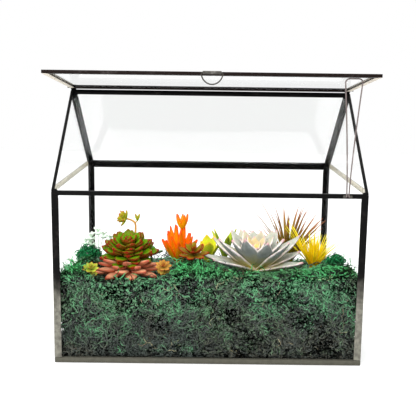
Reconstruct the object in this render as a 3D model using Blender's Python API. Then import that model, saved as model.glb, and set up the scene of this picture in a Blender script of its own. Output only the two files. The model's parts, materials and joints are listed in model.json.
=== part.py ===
"""A house-shaped glass terrarium with its lid propped open, planted with succulents in moss.

Metres, +Z up, +X to the right of the front, +Y from the front to the back. The origin is
the middle of the flat underside. Every piece is modelled where it stands with the lid open.
"""

import math
import random

import bmesh
import bpy
from mathutils import Matrix, Vector

# Case, from the outside of the metal
WIDTH = 0.254
DEPTH = 0.200
EAVE = 0.144
RIDGE = 0.222
HALF_W = WIDTH / 2
HALF_D = DEPTH / 2
PITCH = math.atan2(RIDGE - EAVE, HALF_D)

GAP = 0.0003
SHEET = 0.0008
PANE = 0.0018
BASE_PANE = 0.0030
BASE_LEG = 0.0050
BASE_STRIP_HEIGHT = BASE_PANE + GAP + SHEET
POST_LEG = 0.0058
EAVE_LEG = 0.0035
EAVE_LEDGE = 0.0042
BACK_ROOF_LEG = 0.0045
RAFTER_LEG = 0.0052
FRONT_RAFTER_LIP = 0.0026
RIDGE_LEG = 0.0062
SIDE_STRIP = 0.0048
MITRE_GAP = 0.00022
WALL_SEAM_DROP = 0.0009
ROOF_PANE_FOOT = 0.0030
ROOF_PANE_HEAD = 0.0034

# Lid, in its own plane: distances from the hinge axis
AXIS_LIFT = 0.0021
AXIS_Z = RIDGE + AXIS_LIFT
LID_OPEN = math.radians(6.2)
LID_REACH = 0.1267
LID_START = 0.0026
LID_STRIP = 0.0045
LID_THICK = 0.0026
LID_SHEET = 0.0004
LID_PANE = 0.0012
PIN_RADIUS = 0.0008
PIN_BORE = 0.00095
PIN_OVERHANG = 0.0030
LID_TUBE_RADIUS = 0.0015
CASE_KNUCKLE_RADIUS = 0.0022
CASE_KNUCKLE_LENGTH = 0.0045

# Pull ring and its short tube
PULL_REACH = 0.1283
PULL_LIFT = 0.0005
PULL_TUBE_RADIUS = 0.0013
PULL_TUBE_BORE = 0.00075
PULL_TUBE_HALF = 0.0070
RING_WIRE = 0.0005
RING_HALF_WIDTH = 0.0081
RING_DROP = 0.0086

# Stay, a bent wire that stands in two knuckles on the front eave strip
STAY_X = 0.1098
STAY_WIRE = 0.00055
KNUCKLE_RADIUS = 0.0012
STAY_PIVOT_Y = -HALF_D - KNUCKLE_RADIUS - GAP
STAY_PIVOT_Z = EAVE - 0.0018
STAY_TOP_REACH = 0.1240
STAY_TOP_SHIFT = -0.0033
STAY_TOP_HALF = 0.0067
STAY_FOOT_HALF = 0.00085
STAY_FOOT_LENGTH = 0.0032
KNUCKLE_BORE = 0.00075
KNUCKLE_LENGTH = 0.0020
KNUCKLE_INNER = 0.0016

# Inside the glass
INSIDE_X = HALF_W - SHEET - GAP - PANE
INSIDE_Y = HALF_D - SHEET - GAP - PANE
FLOOR = BASE_STRIP_HEIGHT + GAP

# Moss bed: heaped against the front pane and falling to the back
MOSS_MIDDLE = 0.0600
MOSS_FALL = 0.21
MOSS_CLEAR = 0.0008
MOSS_CELLS_X = 24
MOSS_CELLS_Y = 17
MOSS_RINGS = 4
STEM_HOLE_DEPTH = 0.006
HOLE_SIDES = 10
HOLE_HEIGHT = 0.04

METAL = (0.035, 0.033, 0.032)
GLASS = (0.86, 0.93, 0.90)


def clear_scene():
    for old in list(bpy.data.objects):
        bpy.data.objects.remove(old, do_unlink=True)


def material(name, colour, roughness=0.6, metallic=0.0, alpha=1.0):
    made = bpy.data.materials.new(name)
    made.use_nodes = True
    shader = made.node_tree.nodes["Principled BSDF"]
    shader.inputs["Base Color"].default_value = (*colour, 1.0)
    shader.inputs["Roughness"].default_value = roughness
    shader.inputs["Metallic"].default_value = metallic
    shader.inputs["Alpha"].default_value = alpha
    made.diffuse_color = (*colour, alpha)
    return made


def metal(name):
    return material(name, METAL, 0.38, 1.0)


def glass(name):
    return material(name, GLASS, 0.04, 0.0, 0.25)


def add_object(name, mesh, place=(0, 0, 0), skin=None):
    made = bpy.data.objects.new(name, mesh)
    made.location = place
    bpy.context.scene.collection.objects.link(made)
    if skin:
        made.data.materials.append(skin)
    return made


def mesh_from(name, bm):
    bmesh.ops.recalc_face_normals(bm, faces=bm.faces)
    mesh = bpy.data.meshes.new(name)
    bm.to_mesh(mesh)
    bm.free()
    return mesh


def round_mesh(mesh, angle=35):
    mesh.shade_smooth()
    mesh.set_sharp_from_angle(angle=math.radians(angle))
    return mesh


def adopt(parent, children):
    for child in children:
        child.parent = parent
        child.matrix_parent_inverse = Matrix.Translation(parent.location).inverted()


def pivot(name, place):
    made = bpy.data.objects.new(name, None)
    made.location = place
    made.empty_display_size = 0.01
    bpy.context.scene.collection.objects.link(made)
    return made


# Prisms


def prism(outline, near, far):
    """A mesh between two copies of an outline, each point given by near(u, v) and far(u, v)."""
    bm = bmesh.new()
    first = [bm.verts.new(near(u, v)) for u, v in outline]
    last = [bm.verts.new(far(u, v)) for u, v in outline]
    count = len(outline)
    for i in range(count):
        j = (i + 1) % count
        bm.faces.new((first[i], first[j], last[j], last[i]))
    bm.faces.new(first)
    bm.faces.new(list(reversed(last)))
    return bm


def slab(name, low, high, skin):
    low = Vector(low)
    high = Vector(high)
    bm = bmesh.new()
    bmesh.ops.create_cube(bm, size=1.0)
    bmesh.ops.scale(bm, vec=high - low, verts=bm.verts)
    return add_object(name, mesh_from(name, bm), (low + high) / 2, skin)


def plate(name, outline, origin, across, up, thickness_dir, skin):
    """A flat pane or strip whose outline is given along two directions."""
    origin = Vector(origin)
    bm = prism(
        outline,
        lambda u, v: across * u + up * v,
        lambda u, v: across * u + up * v + thickness_dir,
    )
    return add_object(name, mesh_from(name, bm), origin, skin)


def folded_strip(name, start, end, dir_u, dir_v, leg_u, leg_v, mitre, skin):
    """An L-folded strip along an edge, its two legs mitred at both ends.

    mitre holds, for the start and the end, the angle between this edge and the next one
    in the face of leg U and in the face of leg V.
    """
    start = Vector(start)
    end = Vector(end)
    dir_u = Vector(dir_u).normalized()
    dir_v = Vector(dir_v).normalized()
    along = (end - start).normalized()
    fold = SHEET / dir_u.cross(dir_v).length
    outline = [(0, 0), (leg_u, 0), (leg_u, fold), (fold, fold), (fold, leg_v), (0, leg_v)]

    def setback(u, v, angles):
        return max(u / math.tan(angles[0] / 2), v / math.tan(angles[1] / 2)) + MITRE_GAP

    bm = bmesh.new()
    first = []
    last = []
    for u, v in outline:
        flat = dir_u * u + dir_v * v
        first.append(bm.verts.new(flat + along * setback(u, v, mitre[0])))
        last.append(bm.verts.new(flat + (end - start) - along * setback(u, v, mitre[1])))
    count = len(outline)
    for i in range(count):
        j = (i + 1) % count
        bm.faces.new((first[i], first[j], last[j], last[i]))
    for ring in (first, last):
        bm.faces.new((ring[0], ring[1], ring[2], ring[3]))
        bm.faces.new((ring[0], ring[3], ring[4], ring[5]))
    return add_object(name, mesh_from(name, bm), start, skin)


RIGHT_ANGLE = math.radians(90)
EAVE_CORNER = math.radians(90) + PITCH
APEX = math.pi - 2 * PITCH
X = Vector((1, 0, 0))
Y = Vector((0, 1, 0))
Z = Vector((0, 0, 1))
UP_FRONT_SLOPE = Vector((0, math.cos(PITCH), math.sin(PITCH)))
UP_BACK_SLOPE = Vector((0, -math.cos(PITCH), math.sin(PITCH)))


def tube_mesh(radius, bore, length, sides=16):
    """A tube along X about its own middle, or a rod where bore is 0."""
    bm = bmesh.new()
    rings = []
    sizes = [(radius, -1), (radius, 1)]
    if bore:
        sizes += [(bore, 1), (bore, -1)]
    for size, end in sizes:
        ring = []
        for i in range(sides):
            turn = 2 * math.pi * i / sides
            ring.append(
                bm.verts.new((end * length / 2, size * math.cos(turn), size * math.sin(turn)))
            )
        rings.append(ring)
    pairs = list(zip(rings, rings[1:] + rings[:1])) if bore else [(rings[0], rings[1])]
    for one, two in pairs:
        for i in range(sides):
            j = (i + 1) % sides
            bm.faces.new((one[i], one[j], two[j], two[i]))
    if not bore:
        bm.faces.new(rings[0])
        bm.faces.new(list(reversed(rings[1])))
    return bm


def wire(name, points, radius, skin, place, cyclic=False):
    """A round wire through points, as a bevelled curve with filled ends."""
    curve = bpy.data.curves.new(name, "CURVE")
    curve.dimensions = "3D"
    curve.bevel_depth = radius
    curve.bevel_resolution = 2
    curve.use_fill_caps = True
    spline = curve.splines.new("POLY")
    spline.points.add(len(points) - 1)
    for point, given in zip(spline.points, points):
        point.co = (*given, 1.0)
    spline.use_cyclic_u = cyclic
    spline.use_smooth = True
    curve.materials.append(skin)
    made = bpy.data.objects.new(name, curve)
    made.location = place
    bpy.context.scene.collection.objects.link(made)
    return made


def largest_body(mesh):
    """Leaves only the biggest closed body: sealed hollows are filled and loose scraps dropped."""
    bm = bmesh.new()
    bm.from_mesh(mesh)
    bmesh.ops.remove_doubles(bm, verts=bm.verts, dist=2e-6)
    bmesh.ops.triangulate(bm, faces=bm.faces)
    unseen = set(bm.faces)
    bodies = []
    while unseen:
        waiting = [unseen.pop()]
        body = set(waiting)
        while waiting:
            for edge in waiting.pop().edges:
                for face in edge.link_faces:
                    if face in unseen:
                        unseen.discard(face)
                        body.add(face)
                        waiting.append(face)
        bodies.append(body)

    def volume(body):
        total = 0.0
        for face in body:
            a, b, c = (vert.co for vert in face.verts)
            total += a.dot(b.cross(c)) / 6
        return total

    keep = max(bodies, key=volume)
    drop = [face for face in bm.faces if face not in keep]
    bmesh.ops.delete(bm, geom=drop, context="FACES")
    bm.to_mesh(mesh)
    bm.free()
    return mesh


def fuse(name, core, pieces, skin, solver="EXACT"):
    """One Boolean union of a core mesh with all its pieces, applied, as one closed body."""
    group = bpy.data.collections.new(name + "_pieces")
    bpy.context.scene.collection.children.link(group)
    for number, piece in enumerate(pieces):
        group.objects.link(bpy.data.objects.new(f"{name}_piece_{number}", piece))
    base = bpy.data.objects.new(name, core)
    bpy.context.scene.collection.objects.link(base)
    union = base.modifiers.new("union", "BOOLEAN")
    union.operation = "UNION"
    union.operand_type = "COLLECTION"
    union.collection = group
    union.solver = solver
    bpy.context.view_layer.update()
    graph = bpy.context.evaluated_depsgraph_get()
    joined = bpy.data.meshes.new_from_object(base.evaluated_get(graph))
    base.modifiers.clear()
    base.data = largest_body(joined)
    base.data.name = name
    base.data.materials.clear()
    base.data.materials.append(skin)
    for old in list(group.objects):
        bpy.data.objects.remove(old, do_unlink=True)
    bpy.data.collections.remove(group)
    return base


# The case


def base_strips(skin):
    """Strips round the base pane: an outer wall, and a ledge over the pane for the walls."""
    outline = [
        (0, 0),
        (SHEET, 0),
        (SHEET, BASE_STRIP_HEIGHT - SHEET),
        (BASE_LEG, BASE_STRIP_HEIGHT - SHEET),
        (BASE_LEG, BASE_STRIP_HEIGHT),
        (0, BASE_STRIP_HEIGHT),
    ]
    sides = (
        ("front", -X * HALF_W - Y * HALF_D, X, Y, WIDTH),
        ("right", X * HALF_W - Y * HALF_D, Y, -X, DEPTH),
        ("back", X * HALF_W + Y * HALF_D, -X, -Y, WIDTH),
        ("left", -X * HALF_W + Y * HALF_D, -Y, X, DEPTH),
    )
    for side, corner, along, inward, length in sides:
        bm = prism(
            outline,
            lambda u, v: inward * u + Z * v + along * (u + MITRE_GAP),
            lambda u, v: inward * u + Z * v + along * (length - u - MITRE_GAP),
        )
        add_object(f"base_strip_{side}", mesh_from("base_strip", bm), corner, skin)


def corner_posts(skin):
    for side, sx in (("left", -1), ("right", 1)):
        for face, sy in (("front", -1), ("back", 1)):
            foot = Vector((sx * HALF_W, sy * HALF_D, FLOOR))
            head = Vector((sx * HALF_W, sy * HALF_D, EAVE))
            folded_strip(
                f"post_{face}_{side}",
                foot,
                head,
                -X * sx,
                -Y * sy,
                POST_LEG,
                POST_LEG,
                ((math.pi, math.pi), (RIGHT_ANGLE, EAVE_CORNER)),
                skin,
            )


def eave_strips(skin):
    square = (RIGHT_ANGLE, RIGHT_ANGLE)
    left = Vector((-HALF_W, -HALF_D, EAVE))
    right = Vector((HALF_W, -HALF_D, EAVE))
    folded_strip("eave_front", left, right, -Z, Y, EAVE_LEG, EAVE_LEDGE, (square, square), skin)
    # Two short tubes soldered to the front strip, which the feet of the stay turn in
    for side, sx in (("left", -1), ("right", 1)):
        bm = tube_mesh(KNUCKLE_RADIUS, KNUCKLE_BORE, KNUCKLE_LENGTH, 12)
        middle = STAY_X + sx * (KNUCKLE_INNER + KNUCKLE_LENGTH / 2)
        name = f"stay_knuckle_{side}"
        place = (middle, STAY_PIVOT_Y, STAY_PIVOT_Z)
        round_mesh(add_object(name, mesh_from(name, bm), place, skin).data)

    folded_strip(
        "eave_back",
        (-HALF_W, HALF_D, EAVE),
        (HALF_W, HALF_D, EAVE),
        -Z,
        UP_BACK_SLOPE,
        EAVE_LEG,
        BACK_ROOF_LEG,
        (square, square),
        skin,
    )
    # The side strips lie flat on the seam between wall and gable, and end at the posts
    half = SIDE_STRIP / 2
    low_end = HALF_D - POST_LEG - GAP
    high_end = HALF_D - (RAFTER_LEG / math.cos(PITCH) + half) / math.tan(PITCH) - 2 * GAP
    outline = [(-low_end, -half), (low_end, -half), (high_end, half), (-high_end, half)]
    for side, sx in (("left", -1), ("right", 1)):
        plate(f"eave_{side}", outline, (sx * HALF_W, 0, EAVE), Y, Z, -X * sx * SHEET, skin)


def rafters(skin):
    for side, sx in (("left", -1), ("right", 1)):
        for face, sy, climb, lip in (
            ("front", -1, UP_FRONT_SLOPE, FRONT_RAFTER_LIP),
            ("back", 1, UP_BACK_SLOPE, RAFTER_LEG),
        ):
            foot = Vector((sx * HALF_W, sy * HALF_D, EAVE))
            head = Vector((sx * HALF_W, 0, RIDGE))
            into_gable = Vector((0, -sy * math.sin(PITCH), -math.cos(PITCH)))
            folded_strip(
                f"rafter_{face}_{side}",
                foot,
                head,
                into_gable,
                -X * sx,
                RAFTER_LEG,
                lip,
                ((EAVE_CORNER, RIGHT_ANGLE), (APEX, RIGHT_ANGLE)),
                skin,
            )


def ridge(skin):
    """The ridge strip with a knuckle at each end, and the pin through both."""
    square = (RIGHT_ANGLE, RIGHT_ANGLE)
    strip = folded_strip(
        "ridge_plain",
        (-HALF_W, 0, RIDGE),
        (HALF_W, 0, RIDGE),
        -UP_FRONT_SLOPE,
        -UP_BACK_SLOPE,
        RIDGE_LEG,
        RIDGE_LEG,
        (square, square),
        skin,
    )
    core = strip.data
    core.transform(Matrix.Translation(strip.location))
    bpy.data.objects.remove(strip)
    ends = []
    for side in (-1, 1):
        bm = tube_mesh(CASE_KNUCKLE_RADIUS, PIN_BORE, CASE_KNUCKLE_LENGTH)
        mesh = mesh_from("ridge_knuckle", bm)
        middle = side * (HALF_W - CASE_KNUCKLE_LENGTH / 2 - MITRE_GAP)
        mesh.transform(Matrix.Translation((middle, 0, AXIS_Z)))
        ends.append(mesh)
    round_mesh(fuse("ridge_strip", core, ends, skin).data)
    pin = tube_mesh(PIN_RADIUS, 0, WIDTH + 2 * PIN_OVERHANG, 12)
    add_object("hinge_pin", round_mesh(mesh_from("hinge_pin", pin)), (0, 0, AXIS_Z), skin)


def panes(skin):
    cover = SHEET + GAP
    across = HALF_W - cover
    deep = HALF_D - cover
    slab("base_pane", (-across, -deep, 0), (across, deep, BASE_PANE), skin)
    top = EAVE - cover
    slab("pane_front", (-across, -deep, FLOOR), (across, -deep + PANE, top), skin)
    back_top = EAVE - (SHEET + GAP) / math.cos(PITCH)
    slab("pane_back", (-across, deep - PANE, FLOOR), (across, deep, back_top), skin)
    wall_y = deep - PANE - GAP
    for side, sx in (("left", -1), ("right", 1)):
        inner = sx * (across - PANE)
        outer = sx * across
        wall_top = EAVE - WALL_SEAM_DROP
        slab(
            f"pane_wall_{side}",
            (min(inner, outer), -wall_y, FLOOR),
            (max(inner, outer), wall_y, wall_top),
            skin,
        )
        # A gable pane is a triangle, set below the front lip and below the roof pane
        seam = wall_top + GAP
        front_drop = cover / math.cos(PITCH)
        back_drop = (cover + PANE + GAP) / math.cos(PITCH)
        slope = math.tan(PITCH)
        front_y = -(RIDGE - front_drop - seam) / slope
        back_y = (RIDGE - back_drop - seam) / slope
        apex_y = (front_drop - back_drop) / (2 * slope)
        apex_z = RIDGE - (front_drop + back_drop) / 2 - seam
        behind_ledge = -(HALF_D - EAVE_LEDGE - GAP)
        corner_rise = (behind_ledge - front_y) * slope
        outline = [(behind_ledge, 0), (back_y, 0), (apex_y, apex_z), (behind_ledge, corner_rise)]
        plate(f"pane_gable_{side}", outline, (outer, 0, seam), Y, Z, -X * sx * PANE, skin)
    # The roof pane lies under the legs of the back eave, the back rafters and the ridge
    inward = Vector((0, -math.sin(PITCH), -math.cos(PITCH)))
    low = Vector((0, HALF_D, EAVE)) + UP_BACK_SLOPE * ROOF_PANE_FOOT + inward * cover
    length = math.hypot(HALF_D, RIDGE - EAVE) - ROOF_PANE_FOOT - ROOF_PANE_HEAD
    outline = [(-across, 0), (across, 0), (across, length), (-across, length)]
    plate("pane_roof_back", outline, low, X, UP_BACK_SLOPE, inward * PANE, skin)


# The lid, laid out flat: reach runs from the hinge to the front edge, lift is across the lid


def lid_place(reach, lift, opened=LID_OPEN):
    y = -reach * math.cos(opened) + lift * math.sin(opened)
    return Vector((0, y, AXIS_Z + reach * math.sin(opened) + lift * math.cos(opened)))


def lid_bar(name, corner, along, inward, length, skin):
    """A channel that grips the lid pane, mitred at both ends."""
    half = LID_THICK / 2
    outline = [
        (0, -half),
        (LID_STRIP, -half),
        (LID_STRIP, -half + LID_SHEET),
        (LID_SHEET, -half + LID_SHEET),
        (LID_SHEET, half - LID_SHEET),
        (LID_STRIP, half - LID_SHEET),
        (LID_STRIP, half),
        (0, half),
    ]
    over = lid_place(0, 1) - lid_place(0, 0)
    bm = prism(
        outline,
        lambda u, v: inward * u + over * v + along * (u + MITRE_GAP),
        lambda u, v: inward * u + over * v + along * (length - u - MITRE_GAP),
    )
    return add_object(name, mesh_from(name, bm), corner, skin)


def lid(skin, clear):
    reach = lid_place(1, 0) - lid_place(0, 0)
    run = LID_REACH - LID_START
    front_left = lid_place(LID_REACH, 0) - X * HALF_W
    back_right = lid_place(LID_START, 0) + X * HALF_W
    front_right = lid_place(LID_REACH, 0) + X * HALF_W
    back_left = lid_place(LID_START, 0) - X * HALF_W
    pieces = [
        lid_bar("lid_strip_front", front_left, X, -reach, WIDTH, skin),
        lid_bar("lid_strip_right", front_right, -reach, -X, run, skin),
        lid_bar("lid_strip_left", back_left, reach, X, run, skin),
    ]
    # The hinge strip joins a channel, a tube round the pin and the web between them
    channel = lid_bar("lid_channel", back_right, -X, reach, WIDTH, skin)
    core = channel.data
    core.transform(Matrix.Translation(channel.location))
    bpy.data.objects.remove(channel)
    tube_length = WIDTH - 2 * (CASE_KNUCKLE_LENGTH + MITRE_GAP + GAP)
    tube = mesh_from("lid_tube", tube_mesh(LID_TUBE_RADIUS, PIN_BORE, tube_length))
    tube.transform(Matrix.Translation((0, 0, AXIS_Z)))
    web_near = LID_TUBE_RADIUS - 0.0003
    web_far = LID_START + LID_SHEET / 2
    over = lid_place(0, 1) - lid_place(0, 0)
    web_half = 0.0005
    outline = [(-1, -web_half), (1, -web_half), (1, web_half), (-1, web_half)]
    web_x = tube_length / 2 - GAP
    bm = prism(
        outline,
        lambda u, v: lid_place(web_near, 0) + X * u * web_x + over * v,
        lambda u, v: lid_place(web_far, 0) + X * u * web_x + over * v,
    )
    web = mesh_from("lid_web", bm)
    hinge = fuse("lid_strip_hinge", core, [tube, web], skin)
    round_mesh(hinge.data)
    pieces.append(hinge)

    inset = LID_SHEET + GAP
    outline = [(-1, 0), (1, 0), (1, 1), (-1, 1)]
    near = lid_place(LID_START + inset, -LID_PANE / 2)
    far = lid_place(LID_REACH - inset, -LID_PANE / 2)
    wide = HALF_W - inset
    bm = prism(
        outline,
        lambda u, v: X * u * wide + (far - near) * v,
        lambda u, v: X * u * wide + (far - near) * v + over * LID_PANE,
    )
    pieces.append(add_object("lid_pane", mesh_from("lid_pane", bm), near, clear))
    bracket = tube_mesh(PULL_TUBE_RADIUS, PULL_TUBE_BORE, 2 * PULL_TUBE_HALF, 14)
    bracket = round_mesh(mesh_from("pull_bracket", bracket))
    place = lid_place(PULL_REACH, PULL_LIFT)
    pieces.append(add_object("pull_bracket", bracket, place, skin))
    adopt(pivot("lid_axis", (0, 0, AXIS_Z)), pieces)


def pull_ring(skin):
    """A D-shaped ring: a straight bar in the tube and half an ellipse below it."""
    place = lid_place(PULL_REACH, PULL_LIFT)
    corner = 0.0009
    points = []
    arc_steps = 18
    for i in range(arc_steps + 1):
        turn = math.radians(8 + 164 * i / arc_steps)
        x = RING_HALF_WIDTH * math.cos(turn)
        points.append((x, 0, -RING_DROP * math.sin(turn)))
    straight = RING_HALF_WIDTH - corner
    points.append((-straight - 0.6 * corner, 0, -0.35 * corner))
    points.append((-straight, 0, 0))
    points.append((straight, 0, 0))
    points.append((straight + 0.6 * corner, 0, -0.35 * corner))
    ring = wire("pull_ring", points, RING_WIRE, skin, place, cyclic=True)
    adopt(pivot("pull_axis", place), [ring])


def stay_wire(skin):
    """One wire: a foot bent into each knuckle, two legs, and a rounded bar under the lid."""
    under = -(LID_THICK / 2 + GAP + STAY_WIRE)
    top = lid_place(STAY_TOP_REACH, under)
    foot = Vector((0, STAY_PIVOT_Y, STAY_PIVOT_Z))
    climb = top - foot
    height = climb.length
    climb.normalize()
    bend = 0.0030
    leg_steps = 9

    def leg_x(share, side):
        spread = STAY_FOOT_HALF + (STAY_TOP_HALF - STAY_FOOT_HALF) * share**1.4
        return STAY_X + STAY_TOP_SHIFT * share + side * spread

    half = []
    for side in (-1, 1):
        line = [Vector((STAY_X + side * STAY_FOOT_LENGTH, 0, 0))]
        line.append(Vector((STAY_X + side * (STAY_FOOT_HALF + 0.0007), 0, 0)))
        line.append(Vector((STAY_X + side * (STAY_FOOT_HALF + 0.00015), 0, 0)) + climb * 0.00025)
        last = 1 - bend / height
        for i in range(leg_steps + 1):
            share = 0.0010 / height + (last - 0.0010 / height) * i / leg_steps
            line.append(Vector((leg_x(share, side), 0, 0)) + climb * share * height)
        corner_x = leg_x(last, side)
        for i in range(1, 5):
            turn = math.radians(90 * i / 4)
            x = corner_x - side * bend * (1 - math.cos(turn))
            line.append(Vector((x, 0, 0)) + climb * (height - bend + bend * math.sin(turn)))
        half.append(line)
    points = half[0] + list(reversed(half[1]))
    place = Vector((STAY_X, STAY_PIVOT_Y, STAY_PIVOT_Z))
    points = [point - X * STAY_X for point in points]
    stay = wire("stay_wire", points, STAY_WIRE, skin, place)
    adopt(pivot("stay_axis", place), [stay])


# Moss


def fall_off(distance, radius, flat=0.0):
    """1 out to the flat share of the radius, 0 at the radius, smooth between."""
    share = min(max((distance / radius - flat) / (1 - flat), 0.0), 1.0)
    return (1 - share * share) ** 2


# Hollows in the moss where plants sit, and one rise: x, y, radius, depth
MOSS_HOLLOWS = (
    (-0.069, -0.069, 0.048, 0.0125),
    (0.042, -0.050, 0.054, 0.0080),
    (-0.014, -0.057, 0.026, -0.0050),
    (-0.026, -0.018, 0.024, 0.0030),
    (0.096, -0.020, 0.020, 0.0030),
    (0.076, 0.004, 0.022, 0.0030),
)


def moss_height(x, y):
    z = MOSS_MIDDLE - MOSS_FALL * y
    z += 0.0014 * math.sin(61 * x + 1.3) * math.cos(47 * y + 0.4)
    z += 0.0009 * math.sin(143 * x + 2.1 * math.sin(90 * y))
    z += 0.0006 * math.cos(210 * y - 130 * x)
    from_left = x + INSIDE_X
    from_right = INSIDE_X - x
    from_front = y + INSIDE_Y
    z -= 0.0120 * math.exp(-from_left / 0.0075)
    z -= 0.0030 * math.exp(-from_right / 0.0050)
    z -= 0.0065 * math.exp(-from_front / 0.0060)
    z += 0.0045 * fall_off(abs(x + 0.116), 0.030)
    z += 0.0035 * fall_off(abs(x - 0.118), 0.030)
    for hx, hy, radius, depth in MOSS_HOLLOWS:
        z -= depth * fall_off(math.hypot(x - hx, y - hy), radius, 0.45)
    return z


def moss_bed(skin, stems):
    """A block with a hummocky top and sides, and a plain hole for each stem."""
    bm = bmesh.new()
    half_x = INSIDE_X - MOSS_CLEAR
    half_y = INSIDE_Y - MOSS_CLEAR
    rim = []
    nx = MOSS_CELLS_X
    ny = MOSS_CELLS_Y
    for i in range(nx):
        rim.append((i, 0))
    for j in range(ny):
        rim.append((nx, j))
    for i in range(nx):
        rim.append((nx - i, ny))
    for j in range(ny):
        rim.append((0, ny - j))

    def place(i, j):
        return -half_x + 2 * half_x * i / nx, -half_y + 2 * half_y * j / ny

    top = {}
    for i in range(nx + 1):
        for j in range(ny + 1):
            x, y = place(i, j)
            top[i, j] = bm.verts.new((x, y, moss_height(x, y)))
    for i in range(nx):
        for j in range(ny):
            bm.faces.new((top[i, j], top[i + 1, j], top[i + 1, j + 1], top[i, j + 1]))
    above = [top[key] for key in rim]
    for ring in range(1, MOSS_RINGS + 1):
        below = []
        for key in rim:
            x, y = place(*key)
            share = ring / MOSS_RINGS
            z = FLOOR + (moss_height(x, y) - FLOOR) * (1 - share)
            tuck = 0.0011 * (1 + math.sin(95 * x + 120 * z + 80 * y))
            tuck += 0.0022 * fall_off(math.hypot(y + half_y, z - 0.026), 0.016) * (x < 0)
            bow = math.sin(math.pi * share)
            x *= 1 - tuck * bow / half_x
            y *= 1 - tuck * bow / half_y
            below.append(bm.verts.new((x, y, z)))
        count = len(rim)
        for i in range(count):
            j = (i + 1) % count
            bm.faces.new((above[i], above[j], below[j], below[i]))
        above = below
    bm.faces.new(above)
    bed = add_object("moss_bed", mesh_from("moss_bed", bm), (0, 0, 0), skin)

    group = bpy.data.collections.new("stem_holes")
    bpy.context.scene.collection.children.link(group)
    for number, (x, y, radius) in enumerate(stems):
        bore = bmesh.new()
        floor_z = moss_height(x, y) - STEM_HOLE_DEPTH
        bmesh.ops.create_cone(
            bore,
            cap_ends=True,
            segments=HOLE_SIDES,
            radius1=(radius + GAP) / math.cos(math.pi / HOLE_SIDES),
            radius2=(radius + GAP) / math.cos(math.pi / HOLE_SIDES),
            depth=HOLE_HEIGHT,
            matrix=Matrix.Translation((x, y, floor_z + HOLE_HEIGHT / 2)),
        )
        cutter = bpy.data.objects.new(f"hole_{number}", mesh_from("hole", bore))
        group.objects.link(cutter)
    cut = bed.modifiers.new("holes", "BOOLEAN")
    cut.operation = "DIFFERENCE"
    cut.operand_type = "COLLECTION"
    cut.collection = group
    cut.solver = "EXACT"
    bpy.context.view_layer.update()
    graph = bpy.context.evaluated_depsgraph_get()
    drilled = bpy.data.meshes.new_from_object(bed.evaluated_get(graph))
    bed.modifiers.clear()
    bed.data = largest_body(drilled)
    bed.data.name = "moss_bed"
    for old in list(group.objects):
        bpy.data.objects.remove(old, do_unlink=True)
    bpy.data.collections.remove(group)
    return bed


# Leaves

# Outlines of leaves: share of the length, share of the width
SPOON = ((0.0, 0.42), (0.3, 0.72), (0.62, 1.0), (0.86, 0.66), (1.0, 0.0))
SMALL_SPOON = ((0.0, 0.45), (0.55, 1.0), (0.84, 0.66), (1.0, 0.0))
BUD = ((0.0, 0.55), (0.58, 1.0), (1.0, 0.0))
OVATE = ((0.0, 0.52), (0.26, 0.84), (0.52, 1.0), (0.80, 0.58), (1.0, 0.0))
FINGER = ((0.0, 0.62), (0.34, 1.0), (0.78, 0.56), (1.0, 0.0))
BLADE = ((0.0, 1.0), (0.36, 0.92), (0.74, 0.62), (1.0, 0.0))


def leaf(root, out, up, length, width, thick, rise, curl=0.0, shape=SPOON, cup=0.12, sides=4):
    """A thick leaf that leaves root at the angle rise above out and bends by curl."""
    bm = bmesh.new()
    out = Vector(out).normalized()
    up = Vector(up).normalized()
    across = out.cross(up).normalized()
    point = Vector(root)
    before = 0.0
    rings = []
    for share, wide in shape:
        angle = rise + curl * (share + before) / 2
        heading = out * math.cos(angle) + up * math.sin(angle)
        point = point + heading * length * (share - before)
        before = share
        angle = rise + curl * share
        face = up * math.cos(angle) - out * math.sin(angle)
        if wide == 0.0:
            rings.append([bm.verts.new(point)])
            continue
        half = width * wide / 2
        deep = max(thick * (0.45 + 0.55 * wide), 0.0006)
        edge = face * cup * half
        if sides == 3:
            corners = (-across * half + edge, across * half + edge, -face * deep)
        else:
            corners = (
                -across * half + edge,
                face * deep * 0.38,
                across * half + edge,
                -face * deep * 0.62,
            )
        rings.append([bm.verts.new(point + corner) for corner in corners])
    for one, two in zip(rings, rings[1:]):
        count = len(one)
        for i in range(count):
            j = (i + 1) % count
            if len(two) == 1:
                bm.faces.new((one[i], one[j], two[0]))
            else:
                bm.faces.new((one[i], one[j], two[j]))
                bm.faces.new((one[i], two[j], two[i]))
    bm.faces.new(rings[0])
    bmesh.ops.triangulate(bm, faces=bm.faces)
    return mesh_from("leaf", bm)


def upright(tilt, toward):
    """The axis of a head that leans by tilt towards a compass direction, and two across it."""
    lean = Vector((math.cos(toward), math.sin(toward), 0))
    axis = (Z * math.cos(tilt) + lean * math.sin(tilt)).normalized()
    east = Y.cross(axis).normalized()
    return axis, east, axis.cross(east)


def rosette(centre, frame, tiers, seed, shape=SPOON, front=0.0, stand=0.0):
    """Leaves in tiers round an axis, by count, start, rise, length, width, thick, curl, lift.

    Leaves that point to the front pane are shorter by the share front, and stand up by the
    angle stand.
    """
    dice = random.Random(seed)
    axis, east, north = frame
    made = []
    for count, start, rise, length, width, thick, curl, lift in tiers:
        for i in range(count):
            turn = start + 2 * math.pi * i / count + dice.uniform(-0.06, 0.06)
            out = east * math.cos(turn) + north * math.sin(turn)
            ahead = max(0.0, -out.y)
            climb = rise + dice.uniform(-0.05, 0.05) + stand * ahead
            size = length * dice.uniform(0.94, 1.04) * (1 - front * ahead)
            root = Vector(centre) + axis * lift
            made.append(leaf(root, out, axis, size, width, thick, climb, curl, shape))
    return made


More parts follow.
